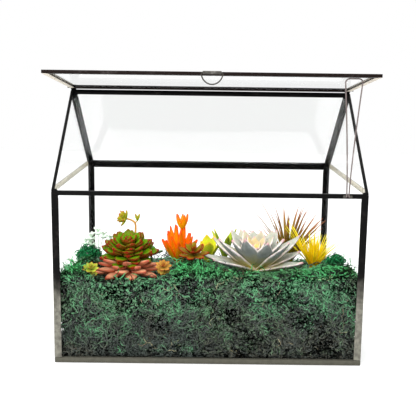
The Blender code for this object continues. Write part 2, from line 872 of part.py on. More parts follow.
def stem(root, axis, radius, below, above, sides=10):
    """A rod from below the root to above it."""
    bm = bmesh.new()
    axis = Vector(axis).normalized()
    turn = Z.rotation_difference(axis).to_matrix().to_4x4()
    middle = Vector(root) + axis * (above - below) / 2
    bmesh.ops.create_cone(
        bm,
        cap_ends=True,
        segments=sides,
        radius1=radius,
        radius2=radius,
        depth=above + below,
        matrix=Matrix.Translation(middle) @ turn,
    )
    return mesh_from("stem", bm)


def footed(x, y):
    """The point where a stem at x, y rests: just above the floor of its hole."""
    return Vector((x, y, moss_height(x, y) - STEM_HOLE_DEPTH + GAP))


def post_stem(x, y, radius, top):
    foot = footed(x, y)
    return stem(foot, Z, radius, 0.0, top - foot.z)


def bent_rod(points, radius, sides=6):
    """A rod through points, thinner towards its end."""
    bm = bmesh.new()
    rings = []
    count = len(points)
    for k, point in enumerate(points):
        ahead = Vector(points[min(k + 1, count - 1)]) - Vector(points[max(k - 1, 0)])
        turn = Z.rotation_difference(ahead.normalized())
        size = radius * (1 - 0.35 * k / (count - 1))
        ring = []
        for i in range(sides):
            angle = 2 * math.pi * i / sides
            spoke = turn @ Vector((math.cos(angle), math.sin(angle), 0))
            ring.append(bm.verts.new(Vector(point) + spoke * size))
        rings.append(ring)
    for one, two in zip(rings, rings[1:]):
        for i in range(sides):
            j = (i + 1) % sides
            bm.faces.new((one[i], one[j], two[j], two[i]))
    bm.faces.new(rings[0])
    bm.faces.new(list(reversed(rings[-1])))
    bmesh.ops.triangulate(bm, faces=bm.faces)
    return mesh_from("rod", bm)


DEG = math.radians(1)
GREY_FRONT_SHARE = 0.20
GREY_FRONT_STAND = math.radians(20)

GREY_X, GREY_Y = 0.042, -0.046
GREEN_X, GREEN_Y = -0.070, -0.050
FINGER_X, FINGER_Y = -0.027, -0.018
SMALL_X, SMALL_Y = -0.0135, -0.055
BROAD_X, BROAD_Y = -0.001, -0.014
TIPS_X, TIPS_Y = 0.016, 0.006
AIR_X, AIR_Y = 0.0755, 0.009
GRASS_X, GRASS_Y = 0.0965, -0.020
SPRIG_X, SPRIG_Y = -0.1015, -0.014
MOUND_X, MOUND_Y = -0.1065, -0.042
TUFT_X, TUFT_Y = 0.1110, -0.050
DARK_X, DARK_Y = -0.0535, -0.006
OFFSET_LEFT = (-0.0985, -0.0835)
OFFSET_RIGHT = (-0.0385, -0.0740)


def grey_rosette(skin):
    seat = moss_height(GREY_X, GREY_Y)
    frame = upright(2 * DEG, -90 * DEG)
    centre = Vector((GREY_X, GREY_Y, seat + 0.0043))
    tiers = (
        (8, 20 * DEG, 24 * DEG, 0.0500, 0.0185, 0.0044, 20 * DEG, 0.0),
        (7, 44 * DEG, 40 * DEG, 0.0410, 0.0190, 0.0044, 16 * DEG, 0.0015),
        (6, 14 * DEG, 54 * DEG, 0.0340, 0.0170, 0.0040, 10 * DEG, 0.0030),
        (6, 40 * DEG, 67 * DEG, 0.0270, 0.0130, 0.0034, 6 * DEG, 0.0045),
        (4, 5 * DEG, 79 * DEG, 0.0200, 0.0090, 0.0028, 2 * DEG, 0.0055),
    )
    core = stem(centre, frame[0], 0.0075, 0.0010, 0.0060)
    leaves = rosette(centre, frame, tiers, 11, OVATE, GREY_FRONT_SHARE, GREY_FRONT_STAND)
    leaves.append(post_stem(GREY_X, GREY_Y, 0.0030, centre.z))
    fuse("grey_rosette", core, leaves, skin)


def green_rosette(skin):
    """The rosette with its flower stalk, which ends in a cluster of bud leaves."""
    seat = moss_height(GREEN_X, GREEN_Y)
    frame = upright(22 * DEG, -90 * DEG)
    centre = Vector((GREEN_X, GREEN_Y, seat + 0.0200))
    tiers = (
        (9, 6 * DEG, 3 * DEG, 0.0270, 0.0125, 0.0040, 22 * DEG, 0.0),
        (8, 24 * DEG, 14 * DEG, 0.0250, 0.0122, 0.0041, 23 * DEG, 0.0031),
        (8, 5 * DEG, 25 * DEG, 0.0225, 0.0115, 0.0038, 24 * DEG, 0.0058),
        (7, 33 * DEG, 39 * DEG, 0.0190, 0.0100, 0.0036, 22 * DEG, 0.0083),
        (6, 10 * DEG, 55 * DEG, 0.0150, 0.0085, 0.0032, 16 * DEG, 0.0105),
        (4, 30 * DEG, 73 * DEG, 0.0110, 0.0065, 0.0028, 8 * DEG, 0.0122),
    )
    core = stem(centre, frame[0], 0.0065, 0.0016, 0.0120)
    pieces = rosette(centre, frame, tiers, 27, SMALL_SPOON)
    pieces.append(post_stem(GREEN_X, GREEN_Y, 0.0030, centre.z))
    stalk = (
        centre + Vector((0.0015, 0.0015, 0.0030)),
        centre + Vector((0.0045, 0.0075, 0.0180)),
        Vector((-0.0650, -0.0400, 0.1020)),
        Vector((-0.0656, -0.0400, 0.1068)),
        Vector((-0.0690, -0.0400, 0.1095)),
        Vector((-0.0740, -0.0400, 0.1108)),
    )
    pieces.append(bent_rod(stalk, 0.0011))
    pieces.append(bent_rod((stalk[3], Vector((-0.0634, -0.0398, 0.1092))), 0.0007))
    bud_frame = upright(70 * DEG, 180 * DEG)
    bud_tiers = (
        (6, 0.0, 28 * DEG, 0.0072, 0.0036, 0.0022, 20 * DEG, 0.0),
        (5, 30 * DEG, 62 * DEG, 0.0064, 0.0032, 0.0020, 14 * DEG, 0.0010),
    )
    pieces += rosette(stalk[-1], bud_frame, bud_tiers, 5, BUD)
    side_bud = Vector((-0.0634, -0.0398, 0.1088))
    for turn in (50 * DEG, 230 * DEG):
        out = Vector((math.cos(turn), math.sin(turn), 0))
        pieces.append(leaf(side_bud, out, Z, 0.0068, 0.0026, 0.0016, 66 * DEG, 0.0, BUD))
    fuse("green_rosette", core, pieces, skin)


def pink_skirt(skin):
    """Old pink leaves that lie under the green rosette, round its stem."""
    seat = moss_height(GREEN_X, GREEN_Y)
    frame = upright(0.0, -90 * DEG)
    centre = Vector((GREEN_X, GREEN_Y, seat + 0.0096))
    bm = tube_mesh(0.0110, 0.0036, 0.0024, 12)
    core = mesh_from("skirt_ring", bm)
    core.transform(Matrix.Rotation(math.radians(90), 4, "Y"))
    axis = frame[0]
    turn = Z.rotation_difference(axis).to_matrix().to_4x4()
    core.transform(Matrix.Translation(centre) @ turn)
    dice = random.Random(31)
    leaves = []
    for i in range(9):
        swing = (200 + 140 * i / 8) * DEG
        out = frame[1] * math.cos(swing) + frame[2] * math.sin(swing)
        root = centre + out * 0.0072
        length = 0.0270 * dice.uniform(0.92, 1.04)
        rise = (1 + 5 * (i % 2)) * DEG
        leaves.append(leaf(root, out, axis, length, 0.0145, 0.0034, rise, 9 * DEG))
    fuse("pink_skirt", core, leaves, skin)


def small_rosette(name, place, stand, size, tilt, counts, seed, skin, wide=0.42, shape=SMALL_SPOON):
    seat = moss_height(*place)
    frame = upright(tilt, -90 * DEG)
    centre = Vector((*place, seat + stand))
    tiers = []
    for ring, count in enumerate(counts):
        share = ring / max(len(counts) - 1, 1)
        length = size * (1 - 0.45 * share)
        tiers.append(
            (
                count,
                ring * 24 * DEG,
                (10 + 58 * share) * DEG,
                length,
                length * wide,
                length * 0.15,
                14 * DEG,
                size * 0.10 * ring,
            )
        )
    core = stem(centre, frame[0], size * 0.20, size * 0.10, size * 0.22, 8)
    pieces = rosette(centre, frame, tiers, seed, shape)
    pieces.append(post_stem(*place, 0.0016, centre.z))
    fuse(name, core, pieces, skin)


def finger_plant(skin):
    """Upright pointed leaves round a forked middle shoot."""
    root = footed(FINGER_X, FINGER_Y)
    seat = moss_height(FINGER_X, FINGER_Y)
    core = stem(root, Z, 0.0050, 0.0, seat + 0.0110 - root.z)
    dice = random.Random(3)
    pieces = []
    base = Vector((FINGER_X, FINGER_Y, seat + 0.0075))
    for tier, (count, rise, length) in enumerate(
        ((8, 52 * DEG, 0.0240), (7, 66 * DEG, 0.0300), (5, 79 * DEG, 0.0310))
    ):
        for i in range(count):
            turn = 2 * math.pi * (i + 0.5 * tier) / count + dice.uniform(-0.12, 0.12)
            out = Vector((math.cos(turn), math.sin(turn), 0))
            size = length * dice.uniform(0.85, 1.08)
            climb = rise + dice.uniform(-0.06, 0.06)
            foot = base + out * (0.0036 - 0.0011 * tier)
            pieces.append(leaf(foot, out, Z, size, 0.0070, 0.0044, climb, 10 * DEG, FINGER, 0.0))
    shoot = (base, base + Vector((0.0012, 0, 0.018)), base + Vector((0.0024, 0, 0.0305)))
    pieces.append(bent_rod(shoot, 0.0020))
    crown = shoot[-1] - Z * 0.0012
    for i in range(5):
        turn = 2 * math.pi * i / 5 + 0.2
        out = Vector((math.cos(turn), math.sin(turn), 0))
        pieces.append(leaf(crown, out, Z, 0.0145, 0.0050, 0.0034, 52 * DEG, 34 * DEG, FINGER, 0.0))
    fuse("finger_plant", core, pieces, skin)


def broad_leaf_plant(skin):
    root = footed(BROAD_X, BROAD_Y)
    seat = moss_height(BROAD_X, BROAD_Y)
    core = stem(root, Z, 0.0024, 0.0, seat + 0.0050 - root.z)
    pieces = []
    base = Vector((BROAD_X, BROAD_Y, seat + 0.0025))
    for swing, rise, length in (
        (-80, 56, 0.019),
        (-15, 42, 0.019),
        (40, 50, 0.021),
        (150, 58, 0.016),
        (222, 62, 0.016),
        (100, 66, 0.020),
    ):
        out = Vector((math.cos(swing * DEG), math.sin(swing * DEG), 0))
        pieces.append(
            leaf(base, out, Z, length, 0.0105, 0.0022, rise * DEG, 16 * DEG)
        )
    fuse("broad_leaf_plant", core, pieces, skin)


def green_tips(skin):
    root = footed(TIPS_X, TIPS_Y)
    seat = moss_height(TIPS_X, TIPS_Y)
    core = stem(root, Z, 0.0022, 0.0, seat + 0.0050 - root.z)
    pieces = []
    base = Vector((TIPS_X, TIPS_Y, seat + 0.0020))
    for swing, rise, length in (
        (-10, 76, 0.034),
        (60, 68, 0.031),
        (150, 66, 0.032),
        (200, 74, 0.034),
        (280, 70, 0.030),
    ):
        out = Vector((math.cos(swing * DEG), math.sin(swing * DEG), 0))
        pieces.append(leaf(base, out, Z, length, 0.0060, 0.0020, rise * DEG, -8 * DEG))
    fuse("green_tips", core, pieces, skin)


def tuft(name, place, core_radius, core_height, rows, skin, seed, thick=0.0009):
    """A tuft of narrow blades. A row: count, rise, length, width, curl, sweep from, sweep to."""
    root = footed(*place)
    seat = moss_height(*place)
    core = stem(root, Z, core_radius, 0.0, seat + core_height - root.z, 8)
    dice = random.Random(seed)
    pieces = []
    for count, rise, length, width, curl, sweep_from, sweep_to in rows:
        for i in range(count):
            share = (i + 0.5) / count
            turn = (sweep_from + (sweep_to - sweep_from) * share) * DEG + dice.uniform(-0.1, 0.1)
            out = Vector((math.cos(turn), math.sin(turn), 0))
            size = length * dice.uniform(0.82, 1.08)
            climb = rise * DEG + dice.uniform(-0.07, 0.07)
            foot = Vector((*place, seat + core_height * 0.35)) + out * core_radius * 0.5
            pieces.append(
                leaf(foot, out, Z, size, width, thick, climb, curl * DEG, BLADE, 0.1, 3)
            )
    fuse(name, core, pieces, skin)


def pale_sprig(skin):
    """Thin forked stems with small star-shaped florets."""
    root = footed(SPRIG_X, SPRIG_Y)
    seat = moss_height(SPRIG_X, SPRIG_Y)
    core = stem(root, Z, 0.0020, 0.0, seat + 0.0020 - root.z, 8)
    pieces = []
    base = Vector((SPRIG_X, SPRIG_Y, seat))
    for number, (dx, dy, height) in enumerate(
        (
            (-0.0120, 0.0010, 0.0170),
            (-0.0065, -0.0030, 0.0225),
            (-0.0010, 0.0030, 0.0260),
            (0.0050, -0.0020, 0.0240),
            (0.0110, 0.0020, 0.0200),
            (-0.0080, 0.0060, 0.0150),
        )
    ):
        tip = base + Vector((dx, dy, height))
        bend = base + Vector((dx * 0.35, dy * 0.35, height * 0.5))
        pieces.append(bent_rod((base - Z * 0.001, bend, tip), 0.0006, 5))
        for i in range(4):
            turn = 2 * math.pi * i / 4 + number
            out = Vector((math.cos(turn), math.sin(turn), 0))
            pieces.append(
                leaf(tip - Z * 0.0004, out, Z, 0.0052, 0.0024, 0.0008, 26 * DEG, 0, BUD, 0.0, 3)
            )
    fuse("pale_sprig", core, pieces, skin)


def moss_clump(name, place, radii, strands, length, skin, seed):
    """A heap of curled moss strands that stand out of a small hummock."""
    root = footed(*place)
    seat = moss_height(*place)
    core = stem(root, Z, 0.0030, 0.0, seat + radii[2] * 0.4 - root.z, 8)
    dice = random.Random(seed)
    hummock = bmesh.new()
    bmesh.ops.create_icosphere(hummock, subdivisions=1, radius=1.0)
    for vert in hummock.verts:
        vert.co *= 1 + 0.16 * math.sin(7 * vert.co.x + 3) * math.cos(6 * vert.co.y + seed)
        vert.co.x *= radii[0]
        vert.co.y *= radii[1]
        vert.co.z *= radii[2]
        vert.co += Vector((*place, seat + radii[2] + 0.0006))
    pieces = [mesh_from("hummock", hummock)]
    for i in range(strands):
        turn = 2.4 * i + dice.uniform(-0.3, 0.3)
        climb = dice.uniform(10, 70) * DEG
        out = Vector((math.cos(turn), math.sin(turn), 0))
        foot = Vector((*place, seat + radii[2] + 0.0006))
        foot += Vector((out.x * radii[0], out.y * radii[1], 0)) * math.cos(climb) * 0.8
        foot += Z * radii[2] * math.sin(climb) * 0.8
        size = length * dice.uniform(0.7, 1.1)
        pieces.append(leaf(foot, out, Z, size, 0.0014, 0.0010, climb, -60 * DEG, BUD, 0.0, 3))
    fuse(name, core, pieces, skin)


def dark_leaf(skin):
    root = footed(DARK_X, DARK_Y)
    seat = moss_height(DARK_X, DARK_Y)
    core = stem(root, Z, 0.0016, 0.0, seat + 0.0120 - root.z, 8)
    base = Vector((DARK_X, DARK_Y, seat + 0.0100))
    pieces = []
    for swing, rise, length in ((-20, 22, 0.0130), (200, 18, 0.0120), (95, 35, 0.0120)):
        out = Vector((math.cos(swing * DEG), math.sin(swing * DEG), 0))
        pieces.append(leaf(base, out, Z, length, 0.0080, 0.0022, rise * DEG))
    fuse("dark_leaf", core, pieces, skin)


def planting():
    stems = (
        (GREY_X, GREY_Y, 0.0030),
        (GREEN_X, GREEN_Y, 0.0030),
        (SMALL_X, SMALL_Y, 0.0016),
        (*OFFSET_LEFT, 0.0016),
        (*OFFSET_RIGHT, 0.0016),
        (FINGER_X, FINGER_Y, 0.0050),
        (BROAD_X, BROAD_Y, 0.0024),
        (TIPS_X, TIPS_Y, 0.0022),
        (AIR_X, AIR_Y, 0.0050),
        (GRASS_X, GRASS_Y, 0.0055),
        (SPRIG_X, SPRIG_Y, 0.0020),
        (MOUND_X, MOUND_Y, 0.0030),
        (TUFT_X, TUFT_Y, 0.0030),
        (DARK_X, DARK_Y, 0.0016),
    )
    moss_bed(material("moss", (0.035, 0.115, 0.050), 0.95), stems)
    grey_rosette(material("grey_leaf", (0.42, 0.45, 0.43), 0.55))
    green_rosette(material("green_leaf", (0.13, 0.28, 0.05), 0.42))
    pink_skirt(material("pink_leaf", (0.62, 0.22, 0.17), 0.50))
    red = material("red_leaf", (0.30, 0.10, 0.06), 0.50)
    red_place = (SMALL_X, SMALL_Y)
    small_rosette("small_red_rosette", red_place, 0.0055, 0.0155, 18 * DEG, (7, 6, 3), 41, red)
    lime = material("lime_leaf", (0.52, 0.58, 0.10), 0.50)
    small_rosette("offset_left", OFFSET_LEFT, 0.0062, 0.0080, 20 * DEG, (6, 3), 43, lime, 0.60, BUD)
    amber = material("amber_leaf", (0.75, 0.42, 0.10), 0.50)
    small_rosette("offset_right", OFFSET_RIGHT, 0.0088, 0.0080, 25 * DEG, (6, 3), 47, amber, 0.60, BUD)
    finger_plant(material("flame_leaf", (0.92, 0.24, 0.03), 0.45))
    broad_leaf_plant(material("yellow_green_leaf", (0.46, 0.58, 0.04), 0.45))
    green_tips(material("tip_leaf", (0.25, 0.45, 0.06), 0.45))
    air_rows = (
        (9, 84, 0.062, 0.0034, -24, 0, 360),
        (7, 66, 0.060, 0.0032, -24, -60, 60),
        (5, 58, 0.050, 0.0030, -30, 125, 215),
    )
    olive = material("air_leaf", (0.40, 0.22, 0.10), 0.6)
    tuft("air_plant", (AIR_X, AIR_Y), 0.0050, 0.0090, air_rows, olive, 7)
    grass_rows = (
        (9, 84, 0.034, 0.0021, 4, 0, 360),
        (10, 74, 0.036, 0.0020, -8, 10, 370),
        (7, 58, 0.031, 0.0020, -14, -190, 60),
        (3, 62, 0.049, 0.0017, -6, 150, 190),
    )
    yellow = material("yellow_grass", (0.90, 0.62, 0.06), 0.6)
    tuft("grass_tuft", (GRASS_X, GRASS_Y), 0.0055, 0.0070, grass_rows, yellow, 9)
    pale_sprig(material("pale_floret", (0.80, 0.90, 0.78), 0.6))
    dark_moss = material("dark_moss", (0.015, 0.10, 0.040), 0.95)
    moss_clump("moss_mound", (MOUND_X, MOUND_Y), (0.0105, 0.0085, 0.0070), 16, 0.0085, dark_moss, 51)
    moss_clump("moss_tuft", (TUFT_X, TUFT_Y), (0.0075, 0.0060, 0.0035), 12, 0.0085, dark_moss, 53)
    dark_leaf(material("dark_leaf", (0.08, 0.20, 0.06), 0.35))


def build():
    clear_scene()
    dark = metal("patina_metal")
    clear = glass("clear_glass")
    base_strips(dark)
    corner_posts(dark)
    eave_strips(dark)
    rafters(dark)
    ridge(dark)
    panes(clear)
    lid(dark, clear)
    pull_ring(metal("ring_metal"))
    stay_wire(metal("stay_metal"))
    planting()


build()
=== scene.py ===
# %% [markdown]
# # A planted glass house, dressed in Blender
#
# The case, its lid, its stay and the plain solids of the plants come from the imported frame.
# This lesson gives them their finish: dark patina on folded metal, clear panes, a bed of
# curly moss, and leaves with colours of their own for each plant. Each piece keeps the place
# that the frame gives it.

# %% The fixed frame
import json
import math
import random

import bpy
import numpy as np
from mathutils import Matrix, Vector

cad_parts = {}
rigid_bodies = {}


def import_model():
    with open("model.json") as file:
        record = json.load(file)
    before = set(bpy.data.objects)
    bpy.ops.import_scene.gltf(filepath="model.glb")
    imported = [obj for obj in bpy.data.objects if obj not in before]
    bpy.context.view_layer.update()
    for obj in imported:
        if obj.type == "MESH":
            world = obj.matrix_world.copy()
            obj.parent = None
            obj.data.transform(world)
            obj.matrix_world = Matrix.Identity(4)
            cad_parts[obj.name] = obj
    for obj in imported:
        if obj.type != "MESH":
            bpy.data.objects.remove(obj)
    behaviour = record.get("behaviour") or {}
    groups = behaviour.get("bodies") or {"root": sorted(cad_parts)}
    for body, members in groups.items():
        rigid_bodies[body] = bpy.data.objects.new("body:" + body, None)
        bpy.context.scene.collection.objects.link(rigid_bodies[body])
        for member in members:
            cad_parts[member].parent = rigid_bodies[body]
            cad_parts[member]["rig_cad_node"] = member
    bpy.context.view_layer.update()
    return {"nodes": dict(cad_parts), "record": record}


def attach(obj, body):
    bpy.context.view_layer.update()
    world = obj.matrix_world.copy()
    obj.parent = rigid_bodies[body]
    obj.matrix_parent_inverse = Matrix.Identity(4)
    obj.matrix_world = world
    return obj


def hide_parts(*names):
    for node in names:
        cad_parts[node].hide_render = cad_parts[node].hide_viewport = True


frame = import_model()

nodes = frame["nodes"]
for packed in bpy.data.materials:
    packed.name = f"packed_{packed.name}"
print("CAD nodes:", len(nodes))

# %% [markdown]
# ## The camera
#
# The camera stands a little above the lid's edge and looks slightly down, as someone does who
# looks at a case on a table. It could be turned by hand until it fits. Here its place and
# three angles are plain numbers, so that the view is the same each time. The plain view
# transform keeps white paper white.

# %% Camera
CAMERA_PLACE = Vector((-0.00508, -0.69681, 0.23791))
CAMERA_LENS = 65.48
CAMERA_YAW = math.radians(0.34)
CAMERA_PITCH = math.radians(-10.09)
CAMERA_ROLL = math.radians(0.77)

camera_data = bpy.data.cameras.new("view")
camera_data.lens = CAMERA_LENS
camera_data.sensor_width = 36.0
camera = bpy.data.objects.new("view", camera_data)
camera.matrix_world = (
    Matrix.Translation(CAMERA_PLACE)
    @ Matrix.Rotation(-CAMERA_YAW, 4, "Z")
    @ Matrix.Rotation(math.radians(90) + CAMERA_PITCH, 4, "X")
    @ Matrix.Rotation(CAMERA_ROLL, 4, "Z")
)
bpy.context.scene.collection.objects.link(camera)
bpy.context.scene.camera = camera
bpy.context.scene.view_settings.view_transform = "Standard"
print("camera lens:", CAMERA_LENS, "mm")

# %% [markdown]
# ## The light
#
# The case stands in soft light from all sides, and a white world does most of that. A large
# lamp at the front left gives the leaves a light and a dark side, and a weaker one above
# brightens their heads. Both are aimed at the middle of the planting.

# %% Light
WORLD_STRENGTH = 1.0
LAMP_AIM = Vector((0, 0, 0.08))
LAMPS = (  # name, place, side in metres, power in watts
    ("key", (-0.55, -0.75, 0.95), 0.7, 11.0),
    ("top", (0.25, 0.1, 1.1), 0.8, 7.0),
)

world = bpy.data.worlds.new("white room")
world.use_nodes = True
world.node_tree.nodes["Background"].inputs["Color"].default_value = (1.0, 1.0, 1.0, 1.0)
world.node_tree.nodes["Background"].inputs["Strength"].default_value = WORLD_STRENGTH
bpy.context.scene.world = world
for name, place, size, power in LAMPS:
    lamp_data = bpy.data.lights.new(name, "AREA")
    lamp_data.shape = "SQUARE"
    lamp_data.size = size
    lamp_data.energy = power
    lamp = bpy.data.objects.new(name, lamp_data)
    lamp.location = place
    lamp.rotation_euler = (LAMP_AIM - Vector(place)).to_track_quat("-Z", "Y").to_euler()
    bpy.context.scene.collection.objects.link(lamp)
print("lamps:", len(LAMPS))

# %% [markdown]
# ## Small helpers for materials
#
# A material is a short chain of nodes. One helper adds a node, sets its plain values and
# links the rest, so that each material reads from top to bottom like a recipe.


# %% Node helpers
def put(tree, kind, settings=None, **sockets):
    """Adds a shader node. A socket is given by name, with _ for a space, or by number."""
    made = tree.nodes.new(kind)
    for key, value in (settings or {}).items():
        setattr(made, key, value)
    for key, value in sockets.items():
        number = key[1:]
        socket = made.inputs[int(number)] if number.isdigit() else made.inputs[key.replace("_", " ")]
        if isinstance(value, bpy.types.NodeSocket):
            tree.links.new(value, socket)
        else:
            socket.default_value = value
    return made


def ramp(tree, source, low, high, out_low=0.0, out_high=1.0):
    """A smooth step from low to high."""
    step = put(tree, "ShaderNodeMapRange", {"interpolation_type": "SMOOTHSTEP"}, Value=source)
    step.inputs["From Min"].default_value = low
    step.inputs["From Max"].default_value = high
    step.inputs["To Min"].default_value = out_low
    step.inputs["To Max"].default_value = out_high
    return step.outputs["Result"]


def blend(tree, share, one, two):
    """Mixes two colours."""
    mix = put(tree, "ShaderNodeMix", {"data_type": "RGBA"}, s0=share)
    for number, value in ((6, one), (7, two)):
        if isinstance(value, bpy.types.NodeSocket):
            tree.links.new(value, mix.inputs[number])
        else:
            mix.inputs[number].default_value = (*value[:3], 1.0)
    return mix.outputs[2]


def maths(tree, operation, one, two=0.5):
    return put(tree, "ShaderNodeMath", {"operation": operation}, s0=one, s1=two).outputs[0]


def times(tree, one, two):
    return maths(tree, "MULTIPLY", one, two)


def plus(tree, one, two):
    return maths(tree, "ADD", one, two)


def minus(tree, one, two):
    return maths(tree, "SUBTRACT", one, two)


def noise(tree, where, scale, detail=4.0, rough=0.55):
    made = put(tree, "ShaderNodeTexNoise", Vector=where, Scale=scale, Detail=detail)
    made.inputs["Roughness"].default_value = rough
    return made.outputs["Fac"]


def object_place(tree):
    return tree.nodes.new("ShaderNodeTexCoord").outputs["Object"]


# %% [markdown]
# ## Groups, materials and relief
#
# An effect that several materials share, such as patina, is a node group: it is built once
# and placed in each material with its own values. A group gives a colour, a height and
# sometimes a roughness. The height feeds a Bump node, so fine relief needs no extra faces.


# %% Groups and materials
def group(name, inputs, outputs):
    """An empty node group with named sockets, as (kind, name, value)."""
    made = bpy.data.node_groups.new(name, "ShaderNodeTree")
    for kind, label, value in inputs:
        socket = made.interface.new_socket(label, in_out="INPUT", socket_type=f"NodeSocket{kind}")
        if value is not None:
            socket.default_value = value
    for kind, label in outputs:
        made.interface.new_socket(label, in_out="OUTPUT", socket_type=f"NodeSocket{kind}")
    return made, made.nodes.new("NodeGroupInput").outputs, made.nodes.new("NodeGroupOutput").inputs


def material(name, **values):
    """A material with one Principled shader and its plain values."""
    made = bpy.data.materials.new(name)
    made.use_nodes = True
    shader = made.node_tree.nodes["Principled BSDF"]
    for key, value in values.items():
        shader.inputs[key.replace("_", " ")].default_value = value
    return made, made.node_tree, shader


def use_group(tree, shader, kind, bump, depth, **values):
    """Places a group and feeds its colour, roughness and height to the shader."""
    made = tree.nodes.new("ShaderNodeGroup")
    made.node_tree = kind
    for key, value in values.items():
        socket = made.inputs[key.replace("_", " ")]
        socket.default_value = (*value, 1.0) if isinstance(value, tuple) else value
    tree.links.new(made.outputs["Color"], shader.inputs["Base Color"])
    if "Roughness" in made.outputs:
        tree.links.new(made.outputs["Roughness"], shader.inputs["Roughness"])
    relief = put(tree, "ShaderNodeBump", Strength=bump, Distance=depth)
    tree.links.new(made.outputs["Height"], relief.inputs["Height"])
    tree.links.new(relief.outputs["Normal"], shader.inputs["Normal"])
    return made


# %% [markdown]
# ## The floor
#
# A sheet of white paper. It is a stage, not a part of the object. A faint grain keeps it
# from being one dead value where the shadow of the case falls.

# %% Floor
FLOOR_HALF = 1.6
FLOOR_DROP = 0.0002

bpy.ops.object.select_all(action="DESELECT")
bpy.ops.mesh.primitive_plane_add(size=2 * FLOOR_HALF, location=(0, 0, -FLOOR_DROP))
floor = bpy.context.active_object
floor.name = "paper_floor"
paper, tree, shader = material("paper", Roughness=0.9)
grain = noise(tree, object_place(tree), 40.0)
white_low, white_high = (0.93, 0.93, 0.93), (0.97, 0.97, 0.97)
tree.links.new(blend(tree, grain, white_low, white_high), shader.inputs["Base Color"])
floor.data.materials.append(paper)
print("floor side:", 2 * FLOOR_HALF, "m")

# %% [markdown]
# ## Patina on the folded metal
#
# The strips are thin sheet, folded over the edges of the panes, soldered and chemically
# blackened. The black is uneven: it is mottled and rubs off along the folds, and the lower
# part of the case is a lighter bronze grey. The group mixes three colours by noise and by
# height, and gives a fine height for the solder skin.

# %% Patina group
patina, given, result = group(
    "Patina",
    (
        ("Color", "Dark", (0.003, 0.003, 0.003, 1.0)),
        ("Color", "Rubbed", (0.018, 0.015, 0.014, 1.0)),
        ("Color", "Low", (0.235, 0.228, 0.19, 1.0)),
        ("Float", "Low share", 1.0),
        ("Float", "Grain", 260.0),
    ),
    (("Color", "Color"), ("Float", "Roughness"), ("Float", "Height")),
)
LOW_START = 0.076
LOW_END = 0.05
LOW_WAVER = 0.03
CLOUD_SCALE = 70.0

place = object_place(patina)
clouds = noise(patina, place, CLOUD_SCALE, 5.0)
specks = put(patina, "ShaderNodeTexNoise", Vector=place, Detail=4.0, Scale=given["Grain"])
specks = specks.outputs["Fac"]
height = put(patina, "ShaderNodeSeparateXYZ", Vector=place).outputs["Z"]
wavy = plus(patina, height, times(patina, minus(patina, clouds, 0.5), LOW_WAVER))
low = times(patina, ramp(patina, wavy, LOW_END, LOW_START, 1.0, 0.0), given["Low share"])
rubbed = times(patina, ramp(patina, clouds, 0.5, 0.72), ramp(patina, specks, 0.4, 0.62))
shade = blend(patina, rubbed, given["Dark"], given["Rubbed"])
low_tone = blend(patina, ramp(patina, specks, 0.3, 0.7, 0.45, 1.0), given["Rubbed"], given["Low"])
patina.links.new(blend(patina, low, shade, low_tone), result["Color"])
patina.links.new(ramp(patina, clouds, 0.3, 0.75, 0.42, 0.66), result["Roughness"])
patina.links.new(plus(patina, times(patina, clouds, 0.6), specks), result["Height"])
print("patina nodes:", len(patina.nodes))

# %% [markdown]
# ## The metals of the case
#
# Every metal part has patina with its own dark and rubbed tones. The side strips of the lid
# and of the eaves have a painted reflection: a light colour on the faces that look inward,
# where they mirror the bright room. A colour by face direction paints it without cutting the
# strip in two.

# %% Metals
PATINA_SHINE = 0.06
PATINA_BUMP = 0.25
PATINA_DEPTH = 0.0003


def patina_material(name, **values):
    made, tree, shader = material(name, Metallic=0.0, Specular_IOR_Level=PATINA_SHINE)
    use_group(tree, shader, patina, PATINA_BUMP, PATINA_DEPTH, **values)
    return made


def patina_with_painted_reflection(name, inward, dull, bright):
    """Patina outside, and a painted reflection in light colours on the faces that look inward."""
    made = patina_material(name, Low_share=0.0)
    tree = made.node_tree
    base_colour = tree.nodes["Principled BSDF"].inputs["Base Color"]
    outside = base_colour.links[0].from_socket
    places = tree.nodes.new("ShaderNodeTexCoord").outputs
    facing = put(tree, "ShaderNodeSeparateXYZ", Vector=places["Normal"]).outputs
    spot = put(tree, "ShaderNodeSeparateXYZ", Vector=places["Object"]).outputs
    look = times(tree, facing["X"], spot["X"]) if inward == "X" else facing["Z"]
    start, end = (-0.02, -0.08) if inward == "X" else (-0.2, -0.7)
    # Painted reflection: a light colour on the inward faces stands for the bright room mirrored there.
    painted_reflection = blend(tree, ramp(tree, noise(tree, places["Object"], 300.0), 0.35, 0.65), dull, bright)
    tree.links.new(blend(tree, ramp(tree, look, start, end), outside, painted_reflection), base_colour)
    return made


case_metal = patina_material("patina_metal")
lid_metal = patina_material(
    "lid_metal", Dark=(0.01, 0.006, 0.005), Rubbed=(0.05, 0.042, 0.04), Low_share=0.0
)
# The side strips of the lid and of the eaves get a painted reflection on their inward faces.
lid_side_metal = patina_with_painted_reflection("lid_side_metal", "Z", (0.42, 0.37, 0.31), (0.7, 0.65, 0.56))
eave_side_metal = patina_with_painted_reflection("eave_side_metal", "X", (0.34, 0.31, 0.24), (0.68, 0.62, 0.5))
base_metal = patina_material(
    "base_metal", Dark=(0.04, 0.036, 0.028), Rubbed=(0.065, 0.062, 0.05), Low=(0.105, 0.102, 0.08)
)
wire_metal = patina_material(
    "wire_metal", Dark=(0.16, 0.13, 0.125), Rubbed=(0.42, 0.38, 0.37), Low_share=0.0, Grain=700.0
)
ring_metal = patina_material(
    "ring_metal", Dark=(0.05, 0.046, 0.04), Rubbed=(0.3, 0.28, 0.24), Low_share=0.0, Grain=500.0
)
bare_metal = patina_material(
    "bare_solder", Dark=(0.06, 0.056, 0.05), Rubbed=(0.26, 0.25, 0.23), Low=(0.26, 0.25, 0.22)
)
print("metal slots ready")

# %% [markdown]
# ## Modelling helpers
#
# An operator acts on all that is selected, so each step first empties the selection and then
# selects its own piece. These helpers do that, open and close edit mode, copy a node of the
# frame with its loose triangles merged, and say which body a finished piece moves with.

